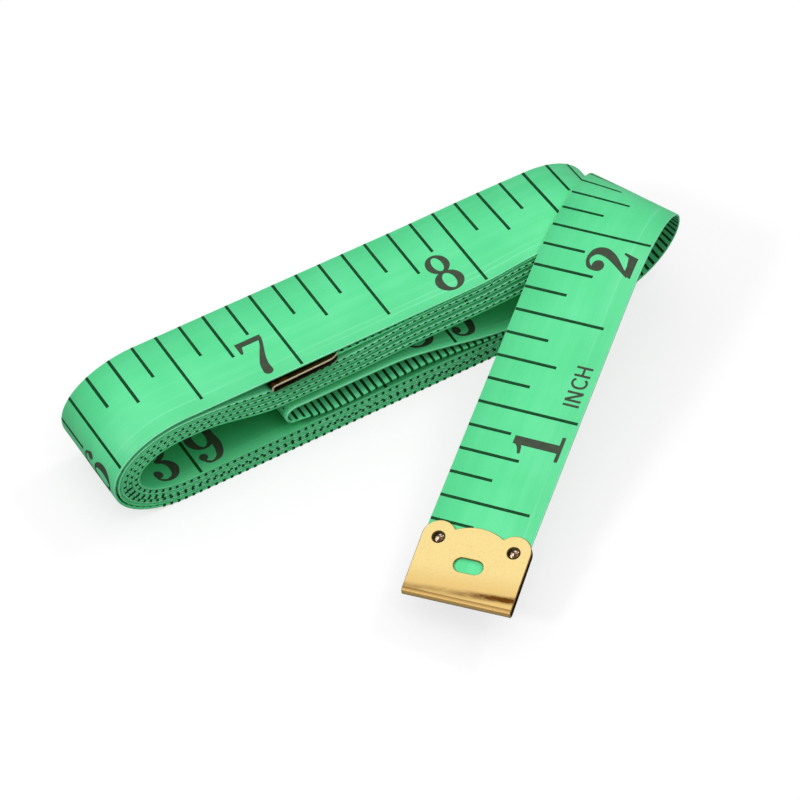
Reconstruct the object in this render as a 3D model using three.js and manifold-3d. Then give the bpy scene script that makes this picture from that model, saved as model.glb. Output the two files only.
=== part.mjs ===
// A cloth tape measure, folded in two, wound up flat and lying on a table, with its free end crossing over
// the winding. Millimetres, +Z up: X runs along the winding, Y across it to the far edge of the tape.
//
// The tape is one unbroken strip. From its zero end it comes down over the winding, turns back in a loop
// round the winding's right end, lies along the table, winds inwards to the inner fold, and winds outwards
// again between its own turns to the inner clip. The winding here has three double turns, spaced so that
// the layers stay clear of one another.
import * as THREE from 'three';
import { mergeVertices } from 'three/addons/utils/BufferGeometryUtils.js';
import Module from 'manifold-3d';

const wasm = await Module();
wasm.setup();

// Tape
const tapeWidth = 12.7;
const tapeThickness = 0.35;

// Winding
const windingLength = 72.7;
const windingHeight = 14.4;
const leftRoundLength = 9.3;
const rightRoundLength = 9.1;
const layerPitch = 0.84;
const doubleTurns = 3;
const clipDipLength = 10.5;

// Inner fold, its place as a share of the winding's length, its leaves as shares of the hollow's height
const foldPlaceShare = 0.31;
const lowerLeafShares = { rise: 0.14, start: 0.25, end: 0.6 };
const upperLeafShares = { rise: 0.5, start: 0.14, end: 0.62 };

// Free end. The loop's half length follows the winding's height, and the other shares follow that.
const tailLength = 87.3;
const tailStartInset = 12.6;
const loopShare = 1.39;
const loopAngle = 189;
const leanAngle = 22.3;
const leanShares = { middle: 1.1, half: 0.91 };
const shoulderAngle = 14.5;
const shoulderShares = { middle: 1.925, half: 0.35 };

// End clips
const clipOverhang = 0.3;
const clipLength = 10.1;
const clipSheet = 0.3;
const clipClearance = 0.2;
const earAngle = 143;
const lobeDepth = 0.8;
const slotLength = 3.8;
const slotWidth = 2.1;
const slotPlace = 5.2;
const innerClipPlaceShare = 0.296;

// Rivets
const rivetRadius = 0.72;
const rivetDome = 0.15;
const rivetInset = 1.75;

// Room left between a rivet and the turn of tape that lies over or under it
const turnClearance = 0.3;

// Fineness
const endSegments = 12;
const topSegments = 16;
const bottomSegments = 6;
const foldSegments = 8;
const tailSegments = 44;
const arcSegments = 10;
const overrun = 1;

const { degToRad, lerp, smoothstep } = THREE.MathUtils;

// Heights and lengths that follow from the sizes above
const topHeight = windingHeight - tapeThickness / 2;
const bottomHeight = tapeThickness / 2;
const midHeight = (topHeight + bottomHeight) / 2;
const halfHeight = (topHeight - bottomHeight) / 2;
const leftCentre = leftRoundLength;
const rightCentre = windingLength - rightRoundLength;
const tailStart = windingLength - tailStartInset;
const loopHalfLength = loopShare * windingHeight;
const clipWidth = tapeWidth + 2 * clipOverhang;
const clipInside = tapeThickness / 2 + clipClearance;
const clipOutside = clipInside + clipSheet;
const rivetReach = clipOutside + rivetDome;
const earRadius = rivetInset + clipOverhang;
const innerClipStart = innerClipPlaceShare * windingLength;
const innerClipEnd = innerClipStart + clipLength;
const inClipDepth = tapeThickness / 2 + turnClearance + rivetReach;
const underClipDepth = inClipDepth + rivetReach + turnClearance + tapeThickness / 2;

// A section of the strip is the line across it, from its near edge to its far edge.
function straightSection(x, z) {
  return { near: new THREE.Vector3(x, 0, z), far: new THREE.Vector3(x, tapeWidth, z) };
}

// Layers are counted from the outside. A top layer dips where the inner clip lies between the turns.
function topDepth(x, leftLayer, rightLayer, dippedDepth) {
  const down = smoothstep(x, innerClipStart - clipDipLength, innerClipStart);
  const up = smoothstep(x, innerClipEnd, innerClipEnd + clipDipLength);
  return lerp(lerp(leftLayer * layerPitch, dippedDepth, down), rightLayer * layerPitch, up);
}

// Sections along the top, from one x to another, at the depth that depthAt gives.
function topRun(from, to, depthAt) {
  const sections = [];
  for (let step = 0; step <= topSegments; step += 1) {
    const x = lerp(from, to, step / topSegments);
    sections.push(straightSection(x, topHeight - depthAt(x)));
  }
  return sections;
}

function bottomRun(from, to, layer) {
  const sections = [];
  for (let step = 0; step <= bottomSegments; step += 1) {
    sections.push(straightSection(lerp(from, to, step / bottomSegments), bottomHeight + layer * layerPitch));
  }
  return sections;
}

// Sections round one end, from the bottom up, as half an ellipse that may change layer on its way.
function endTurn(centre, halfLength, side, bottomLayer, topLayer) {
  const sections = [];
  for (let step = 1; step < endSegments; step += 1) {
    const share = step / endSegments;
    const angle = Math.PI * (share - 1 / 2);
    const depth = lerp(bottomLayer, topLayer, share) * layerPitch;
    const reach = halfLength - tapeThickness / 2 - depth;
    const x = centre + side * reach * Math.cos(angle);
    sections.push(straightSection(x, midHeight + (halfHeight - depth) * Math.sin(angle)));
  }
  return sections;
}

function leftTurn(layer) {
  return endTurn(leftCentre, leftRoundLength, -1, layer, layer);
}

// The layers lie one deeper under the right end than over it, because the free end leaves there.
function rightTurn(topLayer) {
  return endTurn(rightCentre, rightRoundLength, 1, topLayer + 1, topLayer);
}

// The first strand, from where the free end leaves the winding to the lower leaf of the inner fold.
function inwardStrand() {
  const sections = [];
  for (let turn = 0; turn < doubleTurns; turn += 1) {
    const outer = turn === 0;
    const leftLayer = outer ? 0 : 2 * turn - 1;
    const rightLayer = 2 * turn;
    const dipped = outer ? 0 : underClipDepth + (rightLayer - 2) * layerPitch;
    const start = outer ? tailStart : rightCentre;
    sections.push(...bottomRun(start, leftCentre, leftLayer));
    sections.push(...leftTurn(leftLayer));
    sections.push(...topRun(leftCentre, rightCentre, (x) => topDepth(x, leftLayer, rightLayer, dipped)));
    sections.push(...rightTurn(rightLayer).reverse());
  }
  return sections;
}

// The second strand, from the upper leaf of the inner fold to the inner clip.
function outwardStrand() {
  const sections = [];
  for (let turn = doubleTurns - 1; turn >= 0; turn -= 1) {
    const leftLayer = 2 * turn;
    const rightLayer = leftLayer + 1;
    const last = turn === 0;
    const dipped = last ? inClipDepth : underClipDepth + (rightLayer - 2) * layerPitch;
    const end = last ? innerClipStart + clipOutside : leftCentre;
    sections.push(...rightTurn(rightLayer));
    sections.push(...topRun(rightCentre, end, (x) => topDepth(x, leftLayer, rightLayer, dipped)));
    if (!last) {
      sections.push(...leftTurn(leftLayer).reverse());
      sections.push(...bottomRun(leftCentre, rightCentre, leftLayer));
    }
  }
  return sections;
}

// The two leaves of the inner fold rise from the bottom layers into the hollow, and a round fold joins them.
function innerFold() {
  const lowerStart = bottomHeight + (2 * doubleTurns - 1) * layerPitch;
  const upperStart = lowerStart + layerPitch;
  const ceiling = topHeight - underClipDepth - (2 * doubleTurns - 3) * layerPitch;
  const hollow = ceiling - lowerStart;
  const foldPlace = foldPlaceShare * windingLength;
  const leafLength = rightCentre - foldPlace;
  const leafHeight = (x, start, shares) => {
    const share = (rightCentre - x) / leafLength;
    return start + shares.rise * hollow * smoothstep(share, shares.start, shares.end);
  };
  const lower = (x) => leafHeight(x, lowerStart, lowerLeafShares);
  const upper = (x) => leafHeight(x, upperStart, upperLeafShares);
  const radius = (upper(foldPlace) - lower(foldPlace)) / 2;
  const foldCentre = foldPlace + radius;
  const sections = [];
  for (let step = 0; step <= topSegments; step += 1) {
    const x = lerp(rightCentre, foldCentre, step / topSegments);
    sections.push(straightSection(x, lower(x)));
  }
  for (let step = 1; step < foldSegments; step += 1) {
    const angle = Math.PI * step / foldSegments;
    const x = foldCentre - radius * Math.sin(angle);
    sections.push(straightSection(x, lower(foldCentre) + radius * (1 - Math.cos(angle))));
  }
  for (let step = 0; step <= topSegments; step += 1) {
    const x = lerp(foldCentre, rightCentre, step / topSegments);
    sections.push(straightSection(x, upper(x)));
  }
  return sections;
}

// A bend that swells and fades: its rate of turning at a place, whose sum over the bend is the turn.
function bendRate(place, angle, middle, half) {
  const offset = Math.min(Math.abs(place - middle), half);
  return degToRad(angle) * (1 + Math.cos(Math.PI * offset / half)) / (2 * half);
}

// The free end bends like a sheet: it turns about straight lines that lean across the tape within the loop,
// so that it leaves at an angle to the winding. Walks along the middle of the strip from the winding out.
function tailSections() {
  const stepLength = tailLength / tailSegments;
  const middle = new THREE.Vector3(tailStart, tapeWidth / 2, bottomHeight);
  const along = new THREE.Vector3(1, 0, 0);
  const across = new THREE.Vector3(0, 1, 0);
  const leanHalf = leanShares.half * loopHalfLength;
  const leanAt = (place) => leanHalf * bendRate(place, leanAngle, leanShares.middle * loopHalfLength, leanHalf);
  const crease = (lean) => across.clone().multiplyScalar(Math.cos(lean)).addScaledVector(along, -Math.sin(lean));
  const sections = [];
  for (let step = 0; step <= tailSegments; step += 1) {
    const place = step * stepLength;
    const lean = leanAt(place);
    const half = crease(lean).multiplyScalar(tapeWidth / 2 / Math.cos(lean));
    sections.push({ near: middle.clone().sub(half), far: middle.clone().add(half) });
    const next = place + stepLength / 2;
    const rate = bendRate(next, loopAngle, loopHalfLength, loopHalfLength)
      + bendRate(next, shoulderAngle, shoulderShares.middle * loopHalfLength, shoulderShares.half * loopHalfLength);
    const nextLean = leanAt(next);
    const axis = crease(nextLean).negate();
    middle.addScaledVector(along, stepLength / 2);
    along.applyAxisAngle(axis, rate * stepLength * Math.cos(nextLean));
    across.applyAxisAngle(axis, rate * stepLength * Math.cos(nextLean));
    middle.addScaledVector(along, stepLength / 2);
  }
  return { sections, tip: { middle, along: along.negate(), across } };
}

// Drops sections that repeat the one before them.
function withoutRepeats(sections) {
  const same = (a, b) => a.near.distanceTo(b.near) < tapeThickness / 10;
  return sections.filter((section, index) => index === 0 || !same(section, sections[index - 1]));
}

// Closes the strip: each section gets its thickness along the strip's own normal there.
function stripGeometry(sections) {
  const rings = sections.map((section, index) => {
    const before = sections[Math.max(index - 1, 0)];
    const after = sections[Math.min(index + 1, sections.length - 1)];
    const along = after.near.clone().add(after.far).sub(before.near).sub(before.far);
    const across = section.far.clone().sub(section.near);
    const half = along.cross(across).setLength(tapeThickness / 2);
    return [
      section.near.clone().add(half), section.far.clone().add(half),
      section.far.clone().sub(half), section.near.clone().sub(half),
    ];
  });
  const indices = [];
  const corners = 4;
  for (let ring = 0; ring < rings.length - 1; ring += 1) {
    for (let corner = 0; corner < corners; corner += 1) {
      const a = ring * corners + corner;
      const b = ring * corners + (corner + 1) % corners;
      indices.push(a, a + corners, b + corners, a, b + corners, b);
    }
  }
  const last = (rings.length - 1) * corners;
  indices.push(0, 1, 2, 0, 2, 3, last, last + 2, last + 1, last, last + 3, last + 2);
  const geometry = new THREE.BufferGeometry().setFromPoints(rings.flat());
  geometry.setIndex(indices);
  return geometry;
}

// The least gap between two stretches of the strip that aren't next to each other along it.
function leastGap(sections) {
  const rowShares = [0, 1 / 6, 1 / 3, 1 / 2, 2 / 3, 5 / 6, 1];
  const rows = rowShares.map((share) => sections.map((section) => section.near.clone().lerp(section.far, share)));
  const route = [0];
  for (let index = 1; index < sections.length; index += 1) {
    route.push(route[index - 1] + rows[0][index].distanceTo(rows[0][index - 1]));
  }
  const line = new THREE.Line3();
  const closest = new THREE.Vector3();
  let least = Infinity;
  for (const points of rows) {
    for (const others of rows) {
      for (let other = 1; other < others.length; other += 1) {
        line.set(others[other - 1], others[other]);
        for (let index = 0; index < points.length; index += 1) {
          const apart = Math.min(Math.abs(route[index] - route[other]), Math.abs(route[index] - route[other - 1]));
          if (apart > 2 * layerPitch + tapeWidth) {
            line.closestPointToPoint(points[index], true, closest);
            least = Math.min(least, closest.distanceTo(points[index]));
          }
        }
      }
    }
  }
  return { gap: least - tapeThickness, length: route[route.length - 1] };
}

// Solids for cutting and joining
function toSolid(geometry) {
  const bare = geometry.clone();
  bare.deleteAttribute('normal');
  bare.deleteAttribute('uv');
  const merged = mergeVertices(bare);
  return new wasm.Manifold(new wasm.Mesh({
    numProp: 3,
    vertProperties: new Float32Array(merged.attributes.position.array),
    triVerts: new Uint32Array(merged.index.array),
  }));
}

function toGeometry(solid) {
  const mesh = solid.getMesh();
  const geometry = new THREE.BufferGeometry();
  geometry.setAttribute('position', new THREE.BufferAttribute(new Float32Array(mesh.vertProperties), 3));
  geometry.setIndex(new THREE.BufferAttribute(new Uint32Array(mesh.triVerts), 1));
  geometry.computeVertexNormals();
  return geometry;
}

// Extrudes an outline drawn in X and Y from one height to another.
function slab(outline, from, to) {
  const geometry = new THREE.ExtrudeGeometry(outline, {
    depth: to - from,
    bevelEnabled: false,
    curveSegments: arcSegments,
  });
  return geometry.translate(0, 0, from);
}

// A clip's own frame: X runs into the tape from its end, Y across to the far edge, Z to the clip's face.
function rivetPlaces() {
  const x = clipLength - clipOutside - earRadius;
  const y = tapeWidth / 2 - rivetInset;
  return { left: [x, y], right: [x, -y] };
}

// The sheet seen from its edge: folded round the end of the tape, open towards the winding.
function clipProfile() {
  const length = clipLength - clipOutside + overrun;
  const profile = new THREE.Shape();
  profile.moveTo(length, clipOutside);
  profile.lineTo(0, clipOutside);
  profile.absarc(0, 0, clipOutside, Math.PI / 2, -Math.PI / 2, false);
  profile.lineTo(length, -clipOutside);
  profile.lineTo(length, -clipInside);
  profile.lineTo(0, -clipInside);
  profile.absarc(0, 0, clipInside, -Math.PI / 2, Math.PI / 2, true);
  profile.lineTo(length, clipInside);
  return profile;
}

// The blank's outline: straight sides, an ear round each rivet and a wide lobe between the ears.
function clipOutline() {
  const tip = clipLength - clipOutside;
  const earPlace = clipWidth / 2 - earRadius;
  const cuspAngle = degToRad(earAngle);
  const cuspX = tip - earRadius + earRadius * Math.sin(cuspAngle);
  const cuspY = earPlace + earRadius * Math.cos(cuspAngle);
  const lobeRadius = (cuspY ** 2 + lobeDepth ** 2) / (2 * lobeDepth);
  const lobeHalfAngle = Math.asin(cuspY / lobeRadius);
  const lobeCentre = cuspX + lobeDepth - lobeRadius;
  const outline = new THREE.Shape();
  outline.moveTo(-clipOutside - overrun, -clipWidth / 2);
  outline.lineTo(tip - earRadius, -clipWidth / 2);
  outline.absarc(tip - earRadius, -earPlace, earRadius, -Math.PI / 2, cuspAngle - Math.PI / 2, false);
  outline.absarc(lobeCentre, 0, lobeRadius, -lobeHalfAngle, lobeHalfAngle, false);
  outline.absarc(tip - earRadius, earPlace, earRadius, Math.PI / 2 - cuspAngle, Math.PI / 2, false);
  outline.lineTo(-clipOutside - overrun, clipWidth / 2);
  return outline;
}

// The slot for hooking the end over a pin, across the clip's face.
function slotOutline() {
  const x = slotPlace - clipOutside;
  const reach = (slotLength - slotWidth) / 2;
  const outline = new THREE.Shape();
  outline.absarc(x, reach, slotWidth / 2, 0, Math.PI, false);
  outline.absarc(x, -reach, slotWidth / 2, Math.PI, 2 * Math.PI, false);
  return outline;
}

function rivetHoles(reach) {
  return Object.values(rivetPlaces()).map(([x, y]) => {
    const outline = new THREE.Shape();
    outline.absarc(x, y, rivetRadius + clipClearance, 0, 2 * Math.PI, false);
    return toSolid(slab(outline, -reach, reach));
  });
}

function clipSolid() {
  const folded = slab(clipProfile(), -clipWidth / 2 - overrun, clipWidth / 2 + overrun);
  folded.rotateX(Math.PI / 2);
  const blank = slab(clipOutline(), -clipOutside - overrun, clipOutside + overrun);
  let solid = toSolid(folded).intersect(toSolid(blank));
  solid = solid.subtract(toSolid(slab(slotOutline(), 0, clipOutside + overrun)));
  return rivetHoles(clipOutside + overrun).reduce((rest, hole) => rest.subtract(hole), solid);
}

// A flush rivet with a slightly domed head at each end.
function rivetGeometry() {
  const rimHeight = clipOutside;
  const headRadius = (rivetRadius ** 2 + rivetDome ** 2) / (2 * rivetDome);
  const domeSteps = 3;
  const halfAngle = Math.asin(rivetRadius / headRadius);
  const profile = [];
  for (let step = 0; step <= domeSteps; step += 1) {
    const angle = halfAngle * step / domeSteps;
    const height = rimHeight + rivetDome - headRadius * (1 - Math.cos(angle));
    profile.push(new THREE.Vector2(headRadius * Math.sin(angle), height));
  }
  const mirrored = profile.map((point) => new THREE.Vector2(point.x, -point.y)).reverse();
  const outline = [...profile, ...mirrored].reverse();
  outline[0].x = 0;
  outline[outline.length - 1].x = 0;
  return new THREE.LatheGeometry(outline, 2 * arcSegments).rotateX(Math.PI / 2);
}

// Places a clip's frame at an end of the tape.
function endFrame(middle, along, across) {
  const up = along.clone().cross(across).normalize();
  return new THREE.Matrix4().makeBasis(along.clone().normalize(), across.clone().normalize(), up).setPosition(middle);
}

const brass = new THREE.MeshStandardMaterial({ color: 0xf2d68a, roughness: 0.25, metalness: 1 });
const rivetBrass = new THREE.MeshStandardMaterial({ color: 0x8a6232, roughness: 0.3, metalness: 1 });
const coatedCloth = new THREE.MeshStandardMaterial({ color: 0x6fe8a4, roughness: 0.5, metalness: 0 });

// A clip with its two rivets, in a group that stands at the tape's end.
function clipGroup(name, frame) {
  const group = new THREE.Group();
  const clip = new THREE.Mesh(toGeometry(clipSolid()), brass);
  clip.name = `${name}_clip`;
  group.add(clip);
  for (const [side, [x, y]] of Object.entries(rivetPlaces())) {
    const rivet = new THREE.Mesh(rivetGeometry(), rivetBrass);
    rivet.name = `${name}_rivet_${side}`;
    rivet.position.set(x, y, 0);
    group.add(rivet);
  }
  group.applyMatrix4(frame);
  return group;
}

function tapeMesh(sections, frames) {
  let solid = toSolid(stripGeometry(sections));
  for (const frame of frames) {
    for (const hole of rivetHoles(clipInside)) {
      solid = solid.subtract(hole.transform(frame.elements));
    }
  }
  const mesh = new THREE.Mesh(toGeometry(solid), coatedCloth);
  mesh.name = 'tape';
  return mesh;
}

function buildTapeMeasure() {
  const tail = tailSections();
  const sections = withoutRepeats([
    ...tail.sections.reverse(),
    ...inwardStrand(),
    ...innerFold(),
    ...outwardStrand(),
  ]);
  const { gap, length } = leastGap(sections);
  console.log(`tape: ${length.toFixed(0)} mm long, least gap to itself ${gap.toFixed(2)} mm`);
  const outerFrame = endFrame(tail.tip.middle, tail.tip.along, tail.tip.across);
  const innerEnd = new THREE.Vector3(innerClipStart + clipOutside, tapeWidth / 2, topHeight - inClipDepth);
  const innerFrame = endFrame(innerEnd, new THREE.Vector3(1, 0, 0), new THREE.Vector3(0, 1, 0));
  const whole = new THREE.Group();
  whole.add(tapeMesh(sections, [outerFrame, innerFrame]));
  whole.add(clipGroup('front', outerFrame));
  whole.add(clipGroup('rear', innerFrame));
  const box = new THREE.Box3().setFromObject(whole);
  whole.position.set(-(box.min.x + box.max.x) / 2, -(box.min.y + box.max.y) / 2, -box.min.z);
  const model = new THREE.Group();
  model.add(whole);
  return model;
}

export default buildTapeMeasure();
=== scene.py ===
"""A cloth tape measure wound up flat, with its free end crossing over the winding and a clip on each end.

The tape is one printed strip of coated cloth. Its route is worked out here turn by turn, in millimetres, with
X along the winding from its left end, Y across it from its near edge to its far edge, and Z up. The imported
model gives the place where that route stands. Lengths are in millimetres and angles in degrees, except where a
docstring says otherwise.
"""

import logging
import math
from collections.abc import Iterable, Sequence
from dataclasses import dataclass, replace
from enum import Enum

import bpy
import numpy as np
from mathutils import Matrix, Vector
from mathutils.geometry import delaunay_2d_cdt


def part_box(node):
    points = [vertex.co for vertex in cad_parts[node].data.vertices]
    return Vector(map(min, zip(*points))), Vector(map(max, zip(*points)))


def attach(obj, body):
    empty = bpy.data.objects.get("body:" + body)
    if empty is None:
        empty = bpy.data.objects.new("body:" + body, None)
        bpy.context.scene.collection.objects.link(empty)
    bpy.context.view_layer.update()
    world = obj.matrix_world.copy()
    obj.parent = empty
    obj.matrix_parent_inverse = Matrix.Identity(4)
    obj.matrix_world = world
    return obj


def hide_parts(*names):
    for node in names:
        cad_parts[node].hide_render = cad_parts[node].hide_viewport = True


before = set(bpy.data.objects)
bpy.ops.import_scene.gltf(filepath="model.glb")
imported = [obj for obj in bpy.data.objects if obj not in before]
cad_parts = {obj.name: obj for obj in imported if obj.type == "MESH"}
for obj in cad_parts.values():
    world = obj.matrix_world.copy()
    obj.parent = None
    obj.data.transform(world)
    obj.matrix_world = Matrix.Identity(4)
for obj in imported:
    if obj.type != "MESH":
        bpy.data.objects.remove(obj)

MM = 0.001
INCH = 25.4
PHOTO_SIDE = 800

NO_LENGTH = 1e-12

log = logging.getLogger("tape measure")


def smoothstep(value: np.ndarray | float, low: float, high: float) -> np.ndarray | float:
    """Goes smoothly from 0 at low to 1 at high, and also where high is the smaller of the two.

    Args:
        value: Where to look.
        low: The place where the step starts.
        high: The place where it ends.

    Returns:
        The share of the step that is done there.
    """
    share = np.clip((value - low) / (high - low), 0.0, 1.0)
    return share * share * (3.0 - 2.0 * share)


def swell(value: np.ndarray | float, middle: float, half: float) -> np.ndarray | float:
    """A smooth hump that is 1 at its middle and fades to 0 at half its length away.

    Args:
        value: Where to look.
        middle: The place of the top.
        half: The distance from the top to either foot.

    Returns:
        The hump's height there.
    """
    offset = np.minimum(np.abs(value - middle), half)
    return (1.0 + np.cos(np.pi * offset / half)) / 2.0


def even_steps(start: float, end: float, spacing: float) -> np.ndarray:
    """Places from start to end, both included, at most spacing apart."""
    return np.linspace(start, end, max(2, math.ceil(abs(end - start) / spacing) + 1))


def mesh_of(name: str, points: np.ndarray, faces: Sequence[Sequence[int]]) -> bpy.types.Mesh:
    """Makes a mesh.

    Args:
        name: Its name.
        points: Its points, in millimetres.
        faces: The points that each face joins.

    Returns:
        The mesh, in metres.
    """
    mesh = bpy.data.meshes.new(name)
    mesh.from_pydata((points * MM).tolist(), [], faces)
    return mesh


def lay_flat(mesh: bpy.types.Mesh, name: str, flat: np.ndarray) -> None:
    """Gives a mesh a map of its flat lengths.

    Args:
        mesh: The mesh.
        name: The map's name.
        flat: For each of its points, the place in the flat, in millimetres.
    """
    loops = np.zeros(len(mesh.loops), dtype=np.int32)
    mesh.loops.foreach_get("vertex_index", loops)
    mesh.uv_layers.new(name=name).data.foreach_set("uv", (flat * MM)[loops].ravel())


@dataclass(frozen=True)
class Cloth:
    """The tape as it is cut."""

    width: float = 12.7
    thickness: float = 0.33
    length: float = 60 * INCH
    edge_chamfer: float = 0.07
    skin: float = 0.1


@dataclass(frozen=True)
class ClipSizes:
    """The folded sheet of an end clip, measured over all in its own plane."""

    length: float = 9.93
    sheet: float = 0.3
    overhang: float = 0.3
    fold_clearance: float = 0.12
    ear_clearance: float = 0.04
    ear_angle: float = 143.0
    lobe_depth: float = 0.8
    rivet_inset: float = 1.75
    rivet_setback: float = 0.15
    rivet_radius: float = 0.72
    rivet_play: float = 0.05
    slot_length: float = 3.55
    slot_width: float = 1.85
    slot_place: float = 4.88


@dataclass
class Winding:
    """The route of the tape's middle line, seen from the near side, apart from its free end.

    Each rise, tip and sag of a leaf gives its height first. A rise and a tip then give where they start and where
    they are full, and a sag gives its middle and half its length.
    """

    cloth: Cloth
    length: float = 72.7
    height: float = 14.5
    left_round: float = 9.3
    left_reach: float = 9.9
    right_round: float = 9.1
    right_drawing_in: float = 0.8
    pitch: float = 0.37
    double_turns: int = 5
    left_slack: float = 0.45
    first_slack: float = 0.25
    slack: float = 0.5
    dip: float = 2.08
    dip_slack: float = 0.25
    dip_start: float = 22.3
    dip_end: float = 30.3
    dip_ramp: float = 11.5
    crown: float = 0.15
    crown_place: float = 57.0
    crown_half: float = 14.0
    near_lift: float = 0.85
    inner_lift: float = 0.78
    lift_start: float = 49.0
    lift_full: float = 58.0
    lift_below: float = 1.0
    rear_end: float = 21.0
    rear_rise: tuple[tuple[float, float], ...] = (
        (21.0, 1.2), (30.3, 0.78), (35.0, 0.7), (39.0, 0.58), (44.0, 0.42), (48.0, 0.37),
    )
    fold_place: float = 22.7
    fold_reach: float = 1.2
    fold_steps: int = 16
    lower_rise: tuple[float, float, float] = (1.0, 54.0, 41.0)
    lower_sag: tuple[float, float, float] = (0.45, 30.5, 9.0)
    lower_tip: tuple[float, float, float] = (0.55, 29.0, 23.7)
    upper_rise: tuple[float, float, float] = (3.45, 55.5, 36.5)
    upper_tip: tuple[float, float, float] = (0.1, 40.0, 24.0)
    straight_spacing: float = 1.0
    round_spacing: float = 0.42

    @property
    def top(self) -> float:
        """Height of the outermost turn's middle line over the winding."""
        return self.height - self.cloth.thickness / 2

    @property
    def bottom(self) -> float:
        """Height of the outermost turn's middle line under the winding."""
        return self.cloth.thickness / 2

    @property
    def right_centre(self) -> float:
        """Where the right round begins."""
        return self.length - self.right_round

    def left_depth(self, layer: int) -> float:
        """Depth of a layer where it comes round the left end to the top."""
        return layer * self.pitch + (self.left_slack if layer else 0.0)

    def loose_depth(self, layer: int) -> float:
        """Depth of a layer at the right of the top, where the pairs of layers stand apart.

        Args:
            layer: The layer's number, counted from the outside.

        Returns:
            Its depth under the outermost turn.
        """
        pair = layer // 2
        gaps = self.first_slack + (pair - 1) * self.slack if pair else 0.0
        return layer * self.pitch + gaps

    def dipped_depth(self, layer: int) -> float:
        """Depth of a layer where the rear clip presses the inner turns down."""
        pair = layer // 2
        return self.dip + (layer - 2) * self.pitch + (pair - 1) * self.dip_slack if pair else 0.0

    def top_depth(self, x: np.ndarray, left_layer: int, right_layer: int, dipped: float) -> np.ndarray:
        """Depth along the top, with the dip under the rear clip.

        Args:
            x: Places along the winding.
            left_layer: The layer at the left round.
            right_layer: The layer at the right round.
            dipped: The depth under the clip.

        Returns:
            The depth under the outermost turn's flat height at each place.
        """
        down = smoothstep(x, self.dip_start - self.dip_ramp, self.dip_start)
        up = smoothstep(x, self.dip_end, self.dip_end + self.dip_ramp)
        left = self.left_depth(left_layer)
        right = self.loose_depth(right_layer)
        depth = left + (dipped - left) * down
        depth = depth + (right - depth) * up
        return depth - self.crown * swell(x, self.crown_place, self.crown_half)

    def top_run(self, start: float, end: float, left: int, right: int, dipped: float) -> np.ndarray:
        """Points along the top from one place to another."""
        x = even_steps(start, end, self.straight_spacing)
        return np.column_stack([x, self.top - self.top_depth(x, left, right, dipped)])

    def rear_run(self) -> np.ndarray:
        """Points along the last strand, which comes down from under the outermost turn into the rear clip."""
        x = even_steps(self.right_centre, self.rear_end, self.straight_spacing)
        places, depths = zip(*self.rear_rise)
        depth = np.interp(x, places, depths) - self.crown * swell(x, self.crown_place, self.crown_half)
        return np.column_stack([x, self.top - depth])

    def bottom_run(self, start: float, end: float, layer: int) -> np.ndarray:
        """Points along the bottom from one place to another."""
        x = even_steps(start, end, self.straight_spacing)
        return np.column_stack([x, np.full_like(x, self.bottom + layer * self.pitch)])

    def round_end(self, side: int, bottom_depth: float, top_depth: float) -> np.ndarray:
        """Points round one end of the winding, from the bottom up.

        Args:
            side: -1 for the left end, 1 for the right end.
            bottom_depth: The layer's depth where the round starts.
            top_depth: Its depth where the round ends.

        Returns:
            The points, without the two at the ends.
        """
        centre = self.left_round if side < 0 else self.right_centre
        half_length = self.left_reach if side < 0 else self.right_round
        drawing_in = 1.0 if side < 0 else 1.0 + self.right_drawing_in
        middle = (self.top + self.bottom) / 2
        half_height = (self.top - self.bottom) / 2
        shares = even_steps(0.0, math.pi * half_height, self.round_spacing)[1:-1] / (math.pi * half_height)
        angle = math.pi * (shares - 0.5)
        depth = bottom_depth + (top_depth - bottom_depth) * shares
        x = centre + side * (half_length - self.cloth.thickness / 2 - drawing_in * depth) * np.cos(angle)
        return np.column_stack([x, middle + (half_height - depth) * np.sin(angle)])

    def left_turn(self, layer: int) -> np.ndarray:
        """Points round the left end, from the bottom up."""
        return self.round_end(-1, layer * self.pitch, self.left_depth(layer))

    def right_turn(self, top_layer: int) -> np.ndarray:
        """Points round the right end, where a layer lies one deeper below than above."""
        crown = self.crown * float(swell(self.right_centre, self.crown_place, self.crown_half))
        return self.round_end(1, (top_layer + 1) * self.pitch, self.loose_depth(top_layer) - crown)

    def with_lift(self, runs: Sequence[np.ndarray], outermost: bool) -> np.ndarray:
        """Joins the runs of a turn and adds how far the near edge stands above the far edge.

        Args:
            runs: The turn's points.
            outermost: True for the turn that the free end crosses, whose near edge stands up most.

        Returns:
            Rows of X, Z and the near edge's lift.
        """
        points = np.vstack(runs)
        x, z = points.T
        share = smoothstep(x, self.lift_start, self.lift_full) * smoothstep(z, self.top / 2, self.top - self.lift_below)
        return np.column_stack([points, (self.near_lift if outermost else self.inner_lift) * share])

    def inward(self, start: float) -> np.ndarray:
        """The first strand, from where the free end leaves the winding to the inner fold.

        Args:
            start: Where the free end leaves the bottom.

        Returns:
            The strand's points, each with its lift.
        """
        turns = []
        for turn in range(self.double_turns):
            left = max(2 * turn - 1, 0)
            right = 2 * turn
            begin = start if turn == 0 else self.right_centre
            turns.append(self.with_lift([
                self.bottom_run(begin, self.left_round, left),
                self.left_turn(left),
                self.top_run(self.left_round, self.right_centre, left, right, self.dipped_depth(right)),
                self.right_turn(right)[::-1],
            ], turn == 0))
        return np.vstack(turns)

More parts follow.
